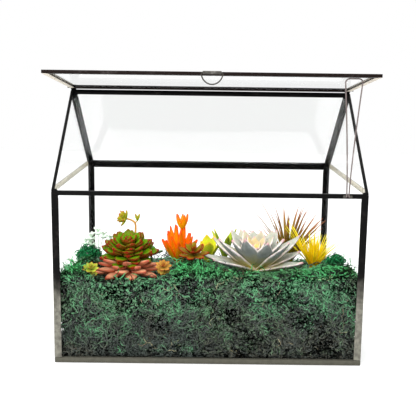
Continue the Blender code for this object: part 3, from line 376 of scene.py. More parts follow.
# %% Modelling helpers
MERGE = 1e-6
FLAT_ANGLE = math.radians(1.0)


def deselect():
    if bpy.context.object and bpy.context.object.mode != "OBJECT":
        bpy.ops.object.mode_set(mode="OBJECT")
    bpy.ops.object.select_all(action="DESELECT")


def select(made):
    deselect()
    made.select_set(True)
    bpy.context.view_layer.objects.active = made


def open_edit():
    """Edit mode on the active piece, with all of it selected."""
    bpy.ops.object.mode_set(mode="EDIT")
    bpy.ops.mesh.select_all(action="SELECT")


def close_edit():
    bpy.ops.object.mode_set(mode="OBJECT")


def settle(made, body, slot, *replaced):
    """Says which body a piece moves with and the nodes it stands for. The slot is not used."""
    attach(made, body)
    if replaced:
        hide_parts(*replaced)


def copy_node(name, new_name, skin):
    """A merged copy of a node, free to be changed."""
    select(nodes[name])
    bpy.ops.object.duplicate()
    made = bpy.context.active_object
    del made["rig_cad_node"]
    made.name = new_name
    made.data.materials.clear()
    open_edit()
    bpy.ops.mesh.remove_doubles(threshold=MERGE)
    bpy.ops.mesh.dissolve_limited(angle_limit=FLAT_ANGLE)
    close_edit()
    made.data.materials.append(skin)
    return made


def paint(name, skin):
    """Gives a node of the frame its finish, and leaves its shape."""
    nodes[name].data.materials.clear()
    nodes[name].data.materials.append(skin)


# %% [markdown]
# ## Folded strips with soft edges
#
# The frame's strips have knife-sharp folds. Real sheet bends round a small radius, which
# catches a thin line of light. Each strip is copied, its loose triangles are merged and
# dissolved back to flat faces, and a narrow bevel rounds every fold. The copy then stands
# for its node.

# %% Soften the strips
FOLD_RADIUS = 0.00022
THIN_FOLD = 0.00012
FOLD_ANGLE = math.radians(35)

body_of = {}
for body, members in frame["record"]["behaviour"]["bodies"].items():
    for member in members:
        body_of[member] = body
finished = {}


def soften(name, skin, radius=FOLD_RADIUS):
    made = copy_node(name, f"{name}_finished", skin)
    edge = made.modifiers.new("fold", "BEVEL")
    edge.width = radius
    edge.segments = 2
    edge.limit_method = "ANGLE"
    edge.angle_limit = FOLD_ANGLE
    bpy.ops.object.modifier_apply(modifier="fold")
    bpy.ops.object.shade_smooth_by_angle(angle=FOLD_ANGLE)
    settle(made, body_of[name], "patina_metal", name)
    finished[name] = made


for side in ("left", "right"):
    for strip in ("post_front", "post_back", "rafter_front", "rafter_back"):
        soften(f"{strip}_{side}", case_metal)
for name in ("eave_front", "eave_back", "ridge_strip"):
    soften(name, case_metal)
for side in ("front", "back", "left", "right"):
    soften(f"base_strip_{side}", base_metal)
for side in ("front", "hinge"):
    soften(f"lid_strip_{side}", lid_metal, THIN_FOLD)
for side in ("left", "right"):
    soften(f"lid_strip_{side}", lid_side_metal, THIN_FOLD)
    soften(f"eave_{side}", eave_side_metal)
print("softened strips:", len(finished))

# %% [markdown]
# ## The strip at the back eave
#
# At the back eave the strip is folded from wider sheet and shows as a broad dark band through
# the case. The softened copy is resized in height only, about its top edge, so that it grows
# downward and stays closed to the roof.

# %% Back eave
EAVE_TOP = 0.1468
EAVE_BACK_STRETCH = 1.3

select(finished["eave_back"])
open_edit()
bpy.ops.transform.resize(value=(1, 1, EAVE_BACK_STRETCH), center_override=(0, 0, EAVE_TOP))
close_edit()
print("back eave height times", EAVE_BACK_STRETCH)

# %% [markdown]
# ## Solder at the joints
#
# Where strips meet, the gap is filled with solder, which sets as a smooth bead. At the tops
# of the posts it also fills the notch under the eave, as a small plate. A stretched sphere
# and a bevelled cube are each modelled once, copied to the joints and joined into one piece.

# %% Solder beads
BEAD_RADIUS = 0.0024
BEAD_SHAPE = (1.0, 0.95, 1.15)
JOINT_X = 0.1243
JOINT_Y = 0.0974
BASE_LEVEL, EAVE_LEVEL, RIDGE_LEVEL = 0.0036, 0.1428, 0.2165
PLATE_X, PLATE_Y, PLATE_Z = 0.1241, 0.0989, 0.1395
PLATE_SIZE = (0.0052, 0.0016, 0.008)
PLATE_EDGE = 0.0004
BOTH = (-1, 1)


def copies(made, places):
    """The piece at the first place, and a copy with its own mesh at each other one."""
    made.location = places[0]
    row = [made]
    for place in places[1:]:
        select(made)
        bpy.ops.object.duplicate()
        row.append(bpy.context.active_object)
        row[-1].location = place
    return row


deselect()
bpy.ops.mesh.primitive_uv_sphere_add(segments=16, ring_count=10, radius=BEAD_RADIUS, scale=BEAD_SHAPE)
joints = [(JOINT_X, side * JOINT_Y, level) for side in BOTH for level in (BASE_LEVEL, EAVE_LEVEL)]
joints.append((JOINT_X, 0.0, RIDGE_LEVEL))
beads = copies(bpy.context.active_object, [(side * x, y, z) for x, y, z in joints for side in BOTH])

deselect()
bpy.ops.mesh.primitive_cube_add(size=1, scale=PLATE_SIZE)
bpy.ops.object.transform_apply(location=False, rotation=False, scale=True)
open_edit()
bpy.ops.mesh.bevel(offset=PLATE_EDGE, segments=2, affect="EDGES")
close_edit()
post_tops = [(x * PLATE_X, y * PLATE_Y, PLATE_Z) for x in BOTH for y in BOTH]
beads += copies(bpy.context.active_object, post_tops)

deselect()
for part in beads:
    part.select_set(True)
bpy.context.view_layer.objects.active = beads[0]
bpy.ops.object.join()
solder = bpy.context.active_object
solder.name = "solder_beads"
bpy.ops.object.transform_apply(location=True, rotation=True, scale=True)
bpy.ops.object.shade_smooth()
solder.data.materials.append(case_metal)
settle(solder, "house", "patina_metal")
print("solder beads and plates:", len(beads))

# %% [markdown]
# ## Wires, knuckles and pins
#
# The small round parts keep the frame's own shape, because it is already round. The stay and
# the pull ring are wire, rubbed brighter than the strips. The knuckles, the ring's tube and
# the hinge pin show bare solder. They only change their material, in their own slots.

# %% Small round parts
paint("stay_wire", wire_metal)
paint("pull_ring", ring_metal)
bare_parts = ("pull_bracket", "hinge_pin", "stay_knuckle_left", "stay_knuckle_right")
for name in bare_parts:
    paint(name, bare_metal)
print("bare parts:", len(bare_parts))

# %% [markdown]
# ## Clear panes
#
# Float glass is clear, and its faces mirror the white room mainly where they are seen at a
# low angle. The mirror part of each ray follows Fresnel's law, and the rest goes straight
# on. Only a tenth of the mirror part is kept, or the bright room would veil the plants. Rays
# that only ask for light, or come from a matt surface, pass through whole, so that light
# reaches the leaves. Faint wipe marks vary the gloss.

# %% Glass
MIRROR_SHARE = 0.1
GLASS_IOR = 1.45
WIPE_STRETCH = (1.0, 1.0, 3.0)

glass, tree, shader = material(
    "clear_glass", IOR=GLASS_IOR, Transmission_Weight=1.0, Base_Color=(0.985, 0.995, 0.99, 1.0)
)
wiped = put(tree, "ShaderNodeMapping", Vector=object_place(tree), Scale=WIPE_STRETCH).outputs[0]
tree.links.new(ramp(tree, noise(tree, wiped, 14.0), 0.45, 0.75, 0.0, 0.02), shader.inputs["Roughness"])
path = tree.nodes.new("ShaderNodeLightPath").outputs
fresnel = put(tree, "ShaderNodeFresnel", IOR=GLASS_IOR).outputs["Fac"]
straight_on = minus(tree, 1.0, times(tree, fresnel, MIRROR_SHARE))
through = maths(tree, "MAXIMUM", path["Is Shadow Ray"], path["Is Diffuse Ray"])
through = maths(tree, "MAXIMUM", through, straight_on)
clear = put(tree, "ShaderNodeBsdfTransparent", Color=(0.994, 0.998, 0.996, 1.0))
mix = put(tree, "ShaderNodeMixShader", s0=through)
tree.links.new(shader.outputs[0], mix.inputs[1])
tree.links.new(clear.outputs[0], mix.inputs[2])
tree.links.new(mix.outputs[0], tree.nodes["Material Output"].inputs["Surface"])
panes = [name for name in nodes if "pane" in name]
for name in panes:
    paint(name, glass)
print("panes:", panes)

# %% [markdown]
# ## A leaf, modelled once
#
# A succulent leaf is a closed, thick blade. It starts as a round face across the X axis,
# and is drawn out along X station by station: extrude, then scale to the outline's width
# and thickness there. The last ring is merged to the tip. Its points are then read as three
# plain numbers: along, across and through the leaf. A bend, a cup and a size turn them
# into any leaf of the plant.


# %% Turned units
def drawn_unit(name, stations, sides):
    """Draws a round face out along X. A station: along, width share, thickness share."""
    deselect()
    along, wide, deep = stations[0]
    bpy.ops.mesh.primitive_circle_add(
        vertices=sides, radius=1.0, fill_type="NGON", rotation=(0, math.pi / 2, 0)
    )
    made = bpy.context.active_object
    made.name = name
    bpy.ops.object.transform_apply(location=False, rotation=True, scale=False)
    open_edit()
    bpy.ops.transform.resize(value=(1, wide, deep), center_override=(0, 0, 0))
    for after, new_wide, new_deep in stations[1:]:
        bpy.ops.mesh.extrude_region_move(TRANSFORM_OT_translate={"value": (after - along, 0, 0)})
        along = after
        if new_wide == 0.0:
            bpy.ops.mesh.merge(type="CENTER")
            break
        shares = (1, new_wide / wide, new_deep / deep)
        bpy.ops.transform.resize(value=shares, center_override=(along, 0, 0))
        wide, deep = new_wide, new_deep
    bpy.ops.mesh.select_all(action="SELECT")
    bpy.ops.mesh.normals_make_consistent(inside=False)
    close_edit()
    points = np.array([vertex.co[:] for vertex in made.data.vertices])
    faces = [tuple(face.vertices) for face in made.data.polygons]
    mesh = made.data
    bpy.data.objects.remove(made)
    bpy.data.meshes.remove(mesh)
    marks = points.copy()
    for after, new_wide, new_deep in stations:
        ring = np.abs(points[:, 0] - after) < 1e-4
        marks[ring, 1] /= max(new_wide, 1e-6)
        marks[ring, 2] /= max(new_deep, 1e-6)
    marks[:, 1:] = np.clip(marks[:, 1:], -1.0, 1.0)
    print(name, "faces", len(faces))
    return {"points": points, "faces": faces, "marks": marks}


# %% [markdown]
# ## Outlines of the leaves
#
# Each kind of leaf has its own outline: a spoon, an ovate blade, a bud scale, a finger or a
# narrow blade. A few pairs of length and width are joined by a smooth curve, with stations
# closer together near the tip, where the outline turns fastest.

# %% Outlines
LEAST_WIDTH = 0.03
THIN_SHARE = 0.45  # of the thickness, left where the outline is narrowest


def outline(pairs, steps):
    """Stations on a smooth curve through the outline's pairs."""
    keys = np.array(pairs)
    places = np.linspace(0.0, 1.0, steps + 1)
    places = np.where(places < 0.5, places, 0.5 + 0.5 * np.sin((places - 0.5) * np.pi))
    made = []
    slopes = np.gradient(keys[:, 1], keys[:, 0])
    for share in places:
        k = min(int(np.searchsorted(keys[:, 0], share, side="right")) - 1, len(keys) - 2)
        span = keys[k + 1, 0] - keys[k, 0]
        t = (share - keys[k, 0]) / span
        one = keys[k, 1] * (2 * t**3 - 3 * t**2 + 1) + slopes[k] * span * (t**3 - 2 * t**2 + t)
        two = keys[k + 1, 1] * (3 * t**2 - 2 * t**3) + slopes[k + 1] * span * (t**3 - t**2)
        wide = max(float(one + two), LEAST_WIDTH) if share < 1.0 else 0.0
        thick = (THIN_SHARE + (1 - THIN_SHARE) * wide) if wide else 0.0
        made.append((float(share), wide, thick))
    return made


OUTLINES = {  # pairs of length and width, then steps along and sides round
    "spoon": (((0.0, 0.42), (0.3, 0.72), (0.62, 1.0), (0.86, 0.72), (1.0, 0.0)), 14, 16),
    "ovate": (((0.0, 0.52), (0.26, 0.84), (0.52, 1.0), (0.8, 0.58), (1.0, 0.0)), 14, 16),
    "small": (((0.0, 0.45), (0.3, 0.76), (0.58, 1.0), (0.84, 0.72), (1.0, 0.0)), 11, 12),
    "bud": (((0.0, 0.55), (0.3, 0.85), (0.58, 1.0), (0.84, 0.6), (1.0, 0.0)), 8, 8),
    "finger": (((0.0, 0.62), (0.34, 1.0), (0.78, 0.56), (1.0, 0.0)), 9, 9),
    "blade": (((0.0, 1.0), (0.36, 0.92), (0.74, 0.62), (1.0, 0.0)), 12, 6),
}
units = {}
for name, (pairs, steps, sides) in OUTLINES.items():
    units[name] = drawn_unit(name, outline(pairs, steps), sides)

# %% [markdown]
# ## Laying leaves
#
# A leaf leaves its root at an angle and bends evenly, so its midline is an arc of a circle.
# The points of the unit are laid along that arc. Each point also keeps where it was on the
# unit, as the attribute "leaf", so that colour can follow the margin, the tip and the base,
# and "tone" tells one leaf from the next.

# %% Laying
STRAIGHT = 1e-4
DEG = math.radians(1)
UP = Vector((0, 0, 1))


def lay(unit, root, out, up, length, width, thick, rise, curl=0.0, cup=0.12, tone=0.5, sway=0.0):
    """One leaf from the unit, as points, faces, marks and tone."""
    u, v, w = unit["points"].T
    out = np.array(Vector(out).normalized())
    up = np.array(Vector(up).normalized())
    across = np.cross(out, up)
    angle = rise + curl * u
    if abs(curl) < STRAIGHT:
        run = u * math.cos(rise)
        climb = u * math.sin(rise)
    else:
        run = (np.sin(angle) - math.sin(rise)) / curl
        climb = (math.cos(rise) - np.cos(angle)) / curl
    lift = w * thick / 2 + cup * width / 2 * v * v
    side = v * width / 2 + sway * length * np.sin(u * 3.0) * u
    points = np.array(root) + np.outer(run * length - np.sin(angle) * lift, out)
    points += np.outer(climb * length + np.cos(angle) * lift, up)
    points += np.outer(side, across)
    return points, unit["faces"], unit["marks"], tone


def flat_way(turn):
    """A level direction, turned from +X."""
    return Vector((math.cos(turn), math.sin(turn), 0))


def upright(tilt, toward):
    """The axis and the two sides of a head that leans from upright."""
    axis = (UP * math.cos(tilt) + flat_way(toward) * math.sin(tilt)).normalized()
    east = Vector((0, 1, 0)).cross(axis).normalized()
    return axis, east, axis.cross(east)


def rosette(unit, centre, head, tiers, seed, front=0.0, cup=0.16, stand=0.0):
    """Leaves in tiers, as in the frame. The tone runs from 0 outside to 1 inside."""
    dice = random.Random(seed)
    axis, east, north = head
    made = []
    for ring, (count, start, rise, length, width, thick, curl, lift) in enumerate(tiers):
        for i in range(count):
            turn = start + 2 * math.pi * i / count + dice.uniform(-0.06, 0.06)
            out = east * math.cos(turn) + north * math.sin(turn)
            ahead = max(0.0, -out.y)
            climb = rise + dice.uniform(-0.05, 0.05) + stand * ahead
            size = length * dice.uniform(0.94, 1.04) * (1 - front * ahead)
            root = Vector(centre) + axis * lift
            tone = (ring + 0.35 * math.sin(7.0 * i)) / max(len(tiers) - 1, 1)
            made.append(lay(unit, root, out, axis, size, width, thick, climb, curl, cup, tone))
    return made


# %% [markdown]
# ## Stems, and one mesh for a plant
#
# A stem is a ring of points carried along a curve, thinner towards its end. It could be a
# curve object with a bevel, but points can go straight into the mesh of the leaves, so that
# a plant is one piece. The parts are then joined, with their marks and tones.

# %% Stems and joining
SKEW = (0.31, 0.22, 0.92)  # a direction that no stem follows
ROD_TAPER = 0.35
ROD_TONE = 0.5
CURVE_STEPS = 6


def rod(points, radius, sides=8):
    """A round stem through points."""
    path = np.array([tuple(point) for point in points])
    count = len(path)
    ways = np.gradient(path, axis=0)
    ways /= np.linalg.norm(ways, axis=1)[:, None]
    side = np.cross(ways, SKEW)
    side /= np.linalg.norm(side, axis=1)[:, None]
    over = np.cross(side, ways)
    turns = np.linspace(0, 2 * math.pi, sides, endpoint=False)
    rings = []
    marks = []
    for k in range(count):
        size = radius * (1 - ROD_TAPER * k / (count - 1))
        ring = path[k] + size * (np.outer(np.cos(turns), side[k]) + np.outer(np.sin(turns), over[k]))
        rings.append(ring)
        marks.append(np.column_stack((np.full(sides, k / (count - 1)), np.zeros(sides), np.sin(turns))))
    faces = []
    for k in range(count - 1):
        for i in range(sides):
            j = (i + 1) % sides
            faces.append((k * sides + i, k * sides + j, (k + 1) * sides + j, (k + 1) * sides + i))
    faces.append(tuple(range(sides - 1, -1, -1)))
    faces.append(tuple((count - 1) * sides + i for i in range(sides)))
    return np.concatenate(rings), faces, np.concatenate(marks), ROD_TONE


def foot_stem(centre, below, above, radius):
    """The short stem that carries a head of leaves down into the moss."""
    return rod((Vector(centre) - UP * below, Vector(centre) + UP * above), radius)


def curve_through(points):
    """Points on a smooth curve through a few given ones."""
    keys = [Vector(point) for point in points]
    keys = [2 * keys[0] - keys[1]] + keys + [2 * keys[-1] - keys[-2]]
    made = []
    for a, b, c, d in zip(keys, keys[1:], keys[2:], keys[3:]):
        for k in range(CURVE_STEPS):
            t = k / CURVE_STEPS
            made.append(0.5 * (
                2 * b + (c - a) * t
                + (2 * a - 5 * b + 4 * c - d) * t**2
                + (3 * b - a - 3 * c + d) * t**3
            ))
    made.append(keys[-2])
    return made


def join_parts(name, parts, skins, slot, *replaced, parts_skin=None):
    """One mesh from laid parts, on the house, standing for its nodes."""
    places = np.concatenate([part[0] for part in parts])
    marks = np.concatenate([part[2] for part in parts])
    tones = np.concatenate([np.full(len(part[0]), part[3]) for part in parts])
    faces = []
    indexes = []
    offset = 0
    for number, part in enumerate(parts):
        faces += [tuple(index + offset for index in face) for face in part[1]]
        indexes += [parts_skin[number] if parts_skin else 0] * len(part[1])
        offset += len(part[0])
    mesh = bpy.data.meshes.new(name)
    mesh.from_pydata(places.tolist(), [], faces)
    mesh.attributes.new("leaf", "FLOAT_VECTOR", "POINT").data.foreach_set("vector", marks.ravel())
    mesh.attributes.new("tone", "FLOAT", "POINT").data.foreach_set("value", tones)
    for skin in skins:
        mesh.materials.append(skin)
    mesh.polygons.foreach_set("material_index", indexes)
    mesh.validate()
    mesh.shade_smooth()
    made = bpy.data.objects.new(name, mesh)
    bpy.context.scene.collection.objects.link(made)
    settle(made, "house", slot, *replaced)
    print(name, "triangles", sum(len(face) - 2 for face in faces))
    return made


# %% [markdown]
# ## The colours of a leaf
#
# One leaf has several colours: a base, a middle, a coloured margin, a tip and an underside,
# and young leaves in the heart differ from old ones. The base is pale on most plants and is
# painted shade on the green rosette. The group reads them from "leaf" and "tone". A fine
# noise adds the bloom of wax that rubs off in patches.

# %% Leaf group
leaf_colours, given, result = group(
    "Leaf colours",
    (
        ("Color", "Middle", (0.3, 0.4, 0.3, 1.0)),
        ("Color", "Young", (0.6, 0.5, 0.3, 1.0)),
        ("Color", "Base", (0.6, 0.6, 0.4, 1.0)),
        ("Color", "Edge", (0.6, 0.4, 0.4, 1.0)),
        ("Color", "Tip", (0.6, 0.3, 0.3, 1.0)),
        ("Color", "Under", (0.2, 0.3, 0.2, 1.0)),
        ("Float", "Young share", 0.8),
        ("Float", "Edge start", 0.72),
        ("Float", "Tip start", 0.8),
        ("Float", "Base end", 0.35),
        ("Float", "Under share", 0.5),
        ("Float", "Mottle", 0.25),
        ("Float", "Gloss", 0.45),
    ),
    (("Color", "Color"), ("Float", "Roughness"), ("Float", "Height")),
)


def span(tree, value, start, end):
    """0 below start, 1 above end, where both may be linked."""
    share = maths(tree, "DIVIDE", minus(tree, value, start), minus(tree, end, start))
    return put(tree, "ShaderNodeClamp", Value=share).outputs[0]


tree = leaf_colours
marks = put(tree, "ShaderNodeAttribute", {"attribute_name": "leaf"}).outputs["Vector"]
tone = put(tree, "ShaderNodeAttribute", {"attribute_name": "tone"}).outputs["Fac"]
split = put(tree, "ShaderNodeSeparateXYZ", Vector=marks).outputs
place = object_place(tree)
patches = noise(tree, place, 210.0, 4.0)
fine = noise(tree, place, 1400.0, 2.0)
wander = times(tree, minus(tree, patches, 0.5), 0.3)
along = plus(tree, split["X"], wander)
across = plus(tree, maths(tree, "ABSOLUTE", split["Y"]), wander)
young = put(tree, "ShaderNodeClamp", Value=tone).outputs[0]
young = times(tree, maths(tree, "POWER", young, 1.8), given["Young share"])
colour = blend(tree, young, given["Middle"], given["Young"])
under = times(tree, ramp(tree, split["Z"], 0.15, -0.45), given["Under share"])
colour = blend(tree, under, colour, given["Under"])
# The foot of the leaf takes the Base colour: a pale base on most plants, painted shade on the green rosette.
base = minus(tree, 1.0, span(tree, along, 0.02, given["Base end"]))
colour = blend(tree, base, colour, given["Base"])
colour = blend(tree, span(tree, across, given["Edge start"], 1.02), colour, given["Edge"])
colour = blend(tree, span(tree, along, given["Tip start"], 1.0), colour, given["Tip"])
bloom = times(tree, minus(tree, patches, 0.42), given["Mottle"])
bright = put(tree, "ShaderNodeHueSaturation", Color=colour)
tree.links.new(plus(tree, 1.0, times(tree, bloom, 3.0)), bright.inputs["Value"])
tree.links.new(bright.outputs["Color"], result["Color"])
tree.links.new(plus(tree, given["Gloss"], times(tree, bloom, 1.2)), result["Roughness"])
tree.links.new(plus(tree, patches, times(tree, fine, 0.35)), result["Height"])


LEAF_SHINE = 0.06
LEAF_BUMP = 0.25
LEAF_RELIEF = 0.0003
LIGHT_REACH = (0.004, 0.002, 0.001)  # of red, green and blue inside a leaf
REACH_SCALE = 0.35


def leaf_material(name, soft=0.0, **values):
    """Soft is the share of the light that passes through the leaf."""
    made, tree, shader = material(name, Subsurface_Weight=soft, Specular_IOR_Level=LEAF_SHINE)
    shader.inputs["Subsurface Radius"].default_value = LIGHT_REACH
    shader.inputs["Subsurface Scale"].default_value = REACH_SCALE
    use_group(tree, shader, leaf_colours, LEAF_BUMP, LEAF_RELIEF, **values)
    return made


# %% [markdown]
# ## The grey rosette
#
# The largest plant is a waxy rosette: broad pointed spoons of grey green with a thin pink
# margin, cream near the root, and warm young leaves in the heart. Its leaves stand in tiers,
# as in the frame. The outermost tier rises most at the front, and four low leaves lie at the
# sides.

# %% Grey rosette
GREY_CENTRE = Vector((0.042, -0.046, 0.06653))
GREY_CUP = 0.3
OUTER_FRONT, OUTER_STAND = 0.2, 20 * DEG
INNER_FRONT, INNER_STAND = 0.34, 6 * DEG
LOW_WIDTH, LOW_THICK, LOW_CURL = 0.02, 0.0042, 14 * DEG

grey_tiers = (  # count, start, rise, length, width, thickness, curl, lift
    (8, 20 * DEG, 24 * DEG, 0.05, 0.0185, 0.0044, 20 * DEG, 0.0),
    (7, 44 * DEG, 40 * DEG, 0.041, 0.019, 0.0044, 16 * DEG, 0.0015),
    (6, 14 * DEG, 54 * DEG, 0.034, 0.017, 0.004, 10 * DEG, 0.003),
    (6, 40 * DEG, 67 * DEG, 0.027, 0.013, 0.0034, 6 * DEG, 0.0045),
    (4, 5 * DEG, 79 * DEG, 0.02, 0.009, 0.0028, 2 * DEG, 0.0055),
)
low_leaves = ((176, 9, 0.051), (203, 11, 0.044), (-12, 6, 0.043), (18, 12, 0.045))
grey_leaf = leaf_material(
    "grey_leaf", soft=0.1,
    Middle=(0.44, 0.45, 0.38), Young=(0.96, 0.68, 0.26), Base=(0.74, 0.62, 0.12),
    Edge=(0.9, 0.76, 0.76), Tip=(0.64, 0.36, 0.38), Under=(0.23, 0.245, 0.24),
    Young_share=0.9, Edge_start=0.88, Tip_start=0.93, Base_end=0.62, Under_share=0.95,
)
ovate = units["ovate"]
grey_head = upright(2 * DEG, -90 * DEG)
grey = rosette(ovate, GREY_CENTRE, grey_head, grey_tiers[:1], 11, OUTER_FRONT, GREY_CUP, OUTER_STAND)
grey += rosette(ovate, GREY_CENTRE, grey_head, grey_tiers[1:], 12, INNER_FRONT, GREY_CUP, INNER_STAND)
for swing, rise, length in low_leaves:
    out = flat_way(swing * DEG)
    shape = (length, LOW_WIDTH, LOW_THICK, rise * DEG, LOW_CURL, GREY_CUP)
    grey.append(lay(ovate, GREY_CENTRE, out, UP, *shape, tone=0.0))
grey.append(foot_stem(GREY_CENTRE, 0.01, 0.004, 0.005))
join_parts("grey_rosette_leaves", grey, [grey_leaf], "grey_leaf", "grey_rosette")

# %% [markdown]
# ## The green rosette and its flower stalk
#
# A dense dome of thick, boat-shaped leaves: bright green above, with maroon margins and
# undersides. Finer tiers stand between those of the frame. A bent orange stalk carries a
# small head of buds and a side bud. Leaves, buds and stalk have a skin each in one mesh.

# %% Green rosette
GREEN_CENTRE = Vector((-0.07, -0.05, 0.07728))
GREEN_CUP = 0.3

green_tiers = (
    (9, 6 * DEG, 3 * DEG, 0.027, 0.0125, 0.004, 22 * DEG, 0.0),
    (8, 24 * DEG, 14 * DEG, 0.025, 0.0122, 0.0041, 23 * DEG, 0.0031),
    (8, 5 * DEG, 25 * DEG, 0.0225, 0.0115, 0.0038, 24 * DEG, 0.0058),
    (7, 33 * DEG, 39 * DEG, 0.019, 0.01, 0.0036, 22 * DEG, 0.0083),
    (6, 10 * DEG, 55 * DEG, 0.015, 0.0085, 0.0032, 16 * DEG, 0.0105),
    (4, 30 * DEG, 73 * DEG, 0.011, 0.0065, 0.0028, 8 * DEG, 0.0122),
)
between_tiers = (
    (8, 27 * DEG, 8 * DEG, 0.025, 0.0105, 0.0036, 22 * DEG, 0.0016),
    (8, 48 * DEG, 20 * DEG, 0.0225, 0.01, 0.0036, 22 * DEG, 0.0046),
    (7, 30 * DEG, 33 * DEG, 0.0195, 0.009, 0.0034, 20 * DEG, 0.0072),
)
# Base here is painted shade: near black green at the foot of each leaf stands for the shade deep between the
# leaves.
green_leaf = leaf_material(
    "green_leaf",
    Middle=(0.09, 0.225, 0.002), Young=(0.15, 0.34, 0.003), Base=(0.008, 0.038, 0.001),
    Edge=(0.15, 0.012, 0.004), Tip=(0.24, 0.01, 0.005), Under=(0.14, 0.02, 0.003),
    Young_share=0.8, Edge_start=0.78, Tip_start=0.85, Base_end=0.66, Under_share=0.85, Gloss=0.36,
)
stalk_skin = leaf_material(
    "stalk",
    Middle=(0.64, 0.3, 0.06), Young=(0.7, 0.42, 0.09), Base=(0.42, 0.36, 0.08),
    Edge=(0.64, 0.3, 0.06), Tip=(0.62, 0.34, 0.07), Under=(0.56, 0.22, 0.05),
)
bud_skin = leaf_material(
    "bud_leaf",
    Middle=(0.3, 0.4, 0.012), Young=(0.42, 0.52, 0.02), Base=(0.26, 0.4, 0.02),
    Edge=(0.42, 0.2, 0.02), Tip=(0.38, 0.03, 0.012), Under=(0.24, 0.26, 0.012),
)
green_head = upright(22 * DEG, -90 * DEG)
green = rosette(units["small"], GREEN_CENTRE, green_head, green_tiers, 27, cup=GREEN_CUP)
green += rosette(units["small"], GREEN_CENTRE, green_head, between_tiers, 29, cup=GREEN_CUP)
print("green leaves:", len(green))

# %% [markdown]
# ## Buds on a bent stalk
#
# The stalk leaves the heart, rises and nods to the left, where two rings of bud scales make
# its head. It is a smooth curve through the same points as the frame's. A few more scales
# than in the frame fill the head out.

# %% Buds and stalk
bud = units["bud"]
stalk = (
    GREEN_CENTRE + Vector((0.0015, 0.0015, 0.003)),
    GREEN_CENTRE + Vector((0.0045, 0.0075, 0.018)),
    Vector((-0.065, -0.04, 0.102)),
    Vector((-0.0656, -0.04, 0.1068)),
    Vector((-0.069, -0.04, 0.1095)),
    Vector((-0.074, -0.04, 0.1108)),
)
side_bud = Vector((-0.0634, -0.0398, 0.1088))
bud_tiers = (
    (6, 0.0, 28 * DEG, 0.0072, 0.0036, 0.0022, 20 * DEG, 0.0),
    (5, 30 * DEG, 62 * DEG, 0.0064, 0.0032, 0.002, 14 * DEG, 0.001),
)
more_buds = (
    (6, 20 * DEG, 4 * DEG, 0.0078, 0.004, 0.002, 24 * DEG, -0.0006),
    (6, 8 * DEG, 44 * DEG, 0.0078, 0.0038, 0.002, 18 * DEG, 0.0006),
)
bud_head = upright(70 * DEG, 180 * DEG)
buds = rosette(bud, stalk[-1], bud_head, bud_tiers, 5) + rosette(bud, stalk[-1], bud_head, more_buds, 6)
for turn in (50, 140, 230, 320):
    buds.append(lay(bud, side_bud, flat_way(turn * DEG), UP, 0.0066, 0.0026, 0.0018, 66 * DEG, tone=0.8))
stems = [
    rod(curve_through(stalk), 0.0011),
    rod((stalk[3], side_bud), 0.0007),
    foot_stem(GREEN_CENTRE, 0.022, 0.005, 0.0034),
]
join_parts(
    "green_rosette_leaves", green + buds + stems, [green_leaf, stalk_skin, bud_skin],
    "green_leaf", "green_rosette", parts_skin=[0] * len(green) + [2] * len(buds) + [1] * len(stems),
)

# %% [markdown]
# ## The old leaves under it
#
# The oldest leaves have turned salmon and lie round the foot of the green rosette. They are
# thick ovate leaves in three rings: two at the front, one over the other, and a short one
# behind.

# %% Pink skirt
SKIRT_CENTRE = Vector((-0.07, -0.05, 0.06688))
SKIRT_CURL = 8 * DEG
SKIRT_STEP = 0.0012

pink_leaf = leaf_material(
    "pink_leaf", soft=0.1,
    Middle=(0.66, 0.29, 0.16), Young=(0.72, 0.36, 0.2), Base=(0.42, 0.26, 0.09),
    Edge=(0.56, 0.14, 0.08), Tip=(0.42, 0.07, 0.04), Under=(0.36, 0.12, 0.06),
    Edge_start=0.8,
)
dice = random.Random(31)
skirt_head = upright(0.0, -90 * DEG)
skirt = []


def skirt_ring(count, first, last, foot, lift, length, width, thick, rises):
    """Fleshy leaves from the first to the last angle, with two rises by turns."""
    for i in range(count):
        swing = (first + (last - first) * i / (count - 1)) * DEG
        out = skirt_head[1] * math.cos(swing) + skirt_head[2] * math.sin(swing)
        size = length * dice.uniform(0.9, 1.06)
        root = SKIRT_CENTRE + out * foot + UP * (lift + SKIRT_STEP * (i % 2))
        shape = (size, width, thick, rises[i % 2] * DEG, SKIRT_CURL)
        skirt.append(lay(ovate, root, out, skirt_head[0], *shape, tone=i % 2))


skirt_ring(8, 196, 344, 0.0072, 0.0, length=0.027, width=0.012, thick=0.0044, rises=(-6, 4))
skirt_ring(7, 204, 336, 0.006, 0.0038, length=0.024, width=0.011, thick=0.0042, rises=(8, 17))
skirt_ring(5, 20, 160, 0.005, 0.0, length=0.0085, width=0.007, thick=0.0032, rises=(4, 4))
join_parts("pink_skirt_leaves", skirt, [pink_leaf], "pink_leaf", "pink_skirt")

# %% [markdown]
# ## Small rosettes
#
# Offsets are small copies of the big heads: a maroon one in front of the middle, a
# yellow-green one at the left corner and an amber one beside the green rosette.


# %% Small rosettes
def small_rosette(name, centre, size, tilt, counts, seed, skin, unit="bud", wide=0.6, skirted=True):
    tiers = []
    for ring, count in enumerate(counts):
        share = ring / max(len(counts) - 1, 1)
        length = size * (1 - 0.45 * share)
        rise = (10 + 58 * share) * DEG
        start = ring * 24 * DEG
        tiers.append((count, start, rise, length, length * wide, length * 0.15, 14 * DEG, size * 0.1 * ring))
    if skirted:
        tiers.append((9, 0.2, -38 * DEG, size * 0.85, size * 0.5, size * 0.15, 10 * DEG, -size * 0.12))
    made = rosette(units[unit], centre, upright(tilt, -90 * DEG), tiers, seed)
    made.append(foot_stem(centre, 0.008, 0.0, size * 0.14))
    join_parts(f"{name}_leaves", made, [skin], skin.name, name)


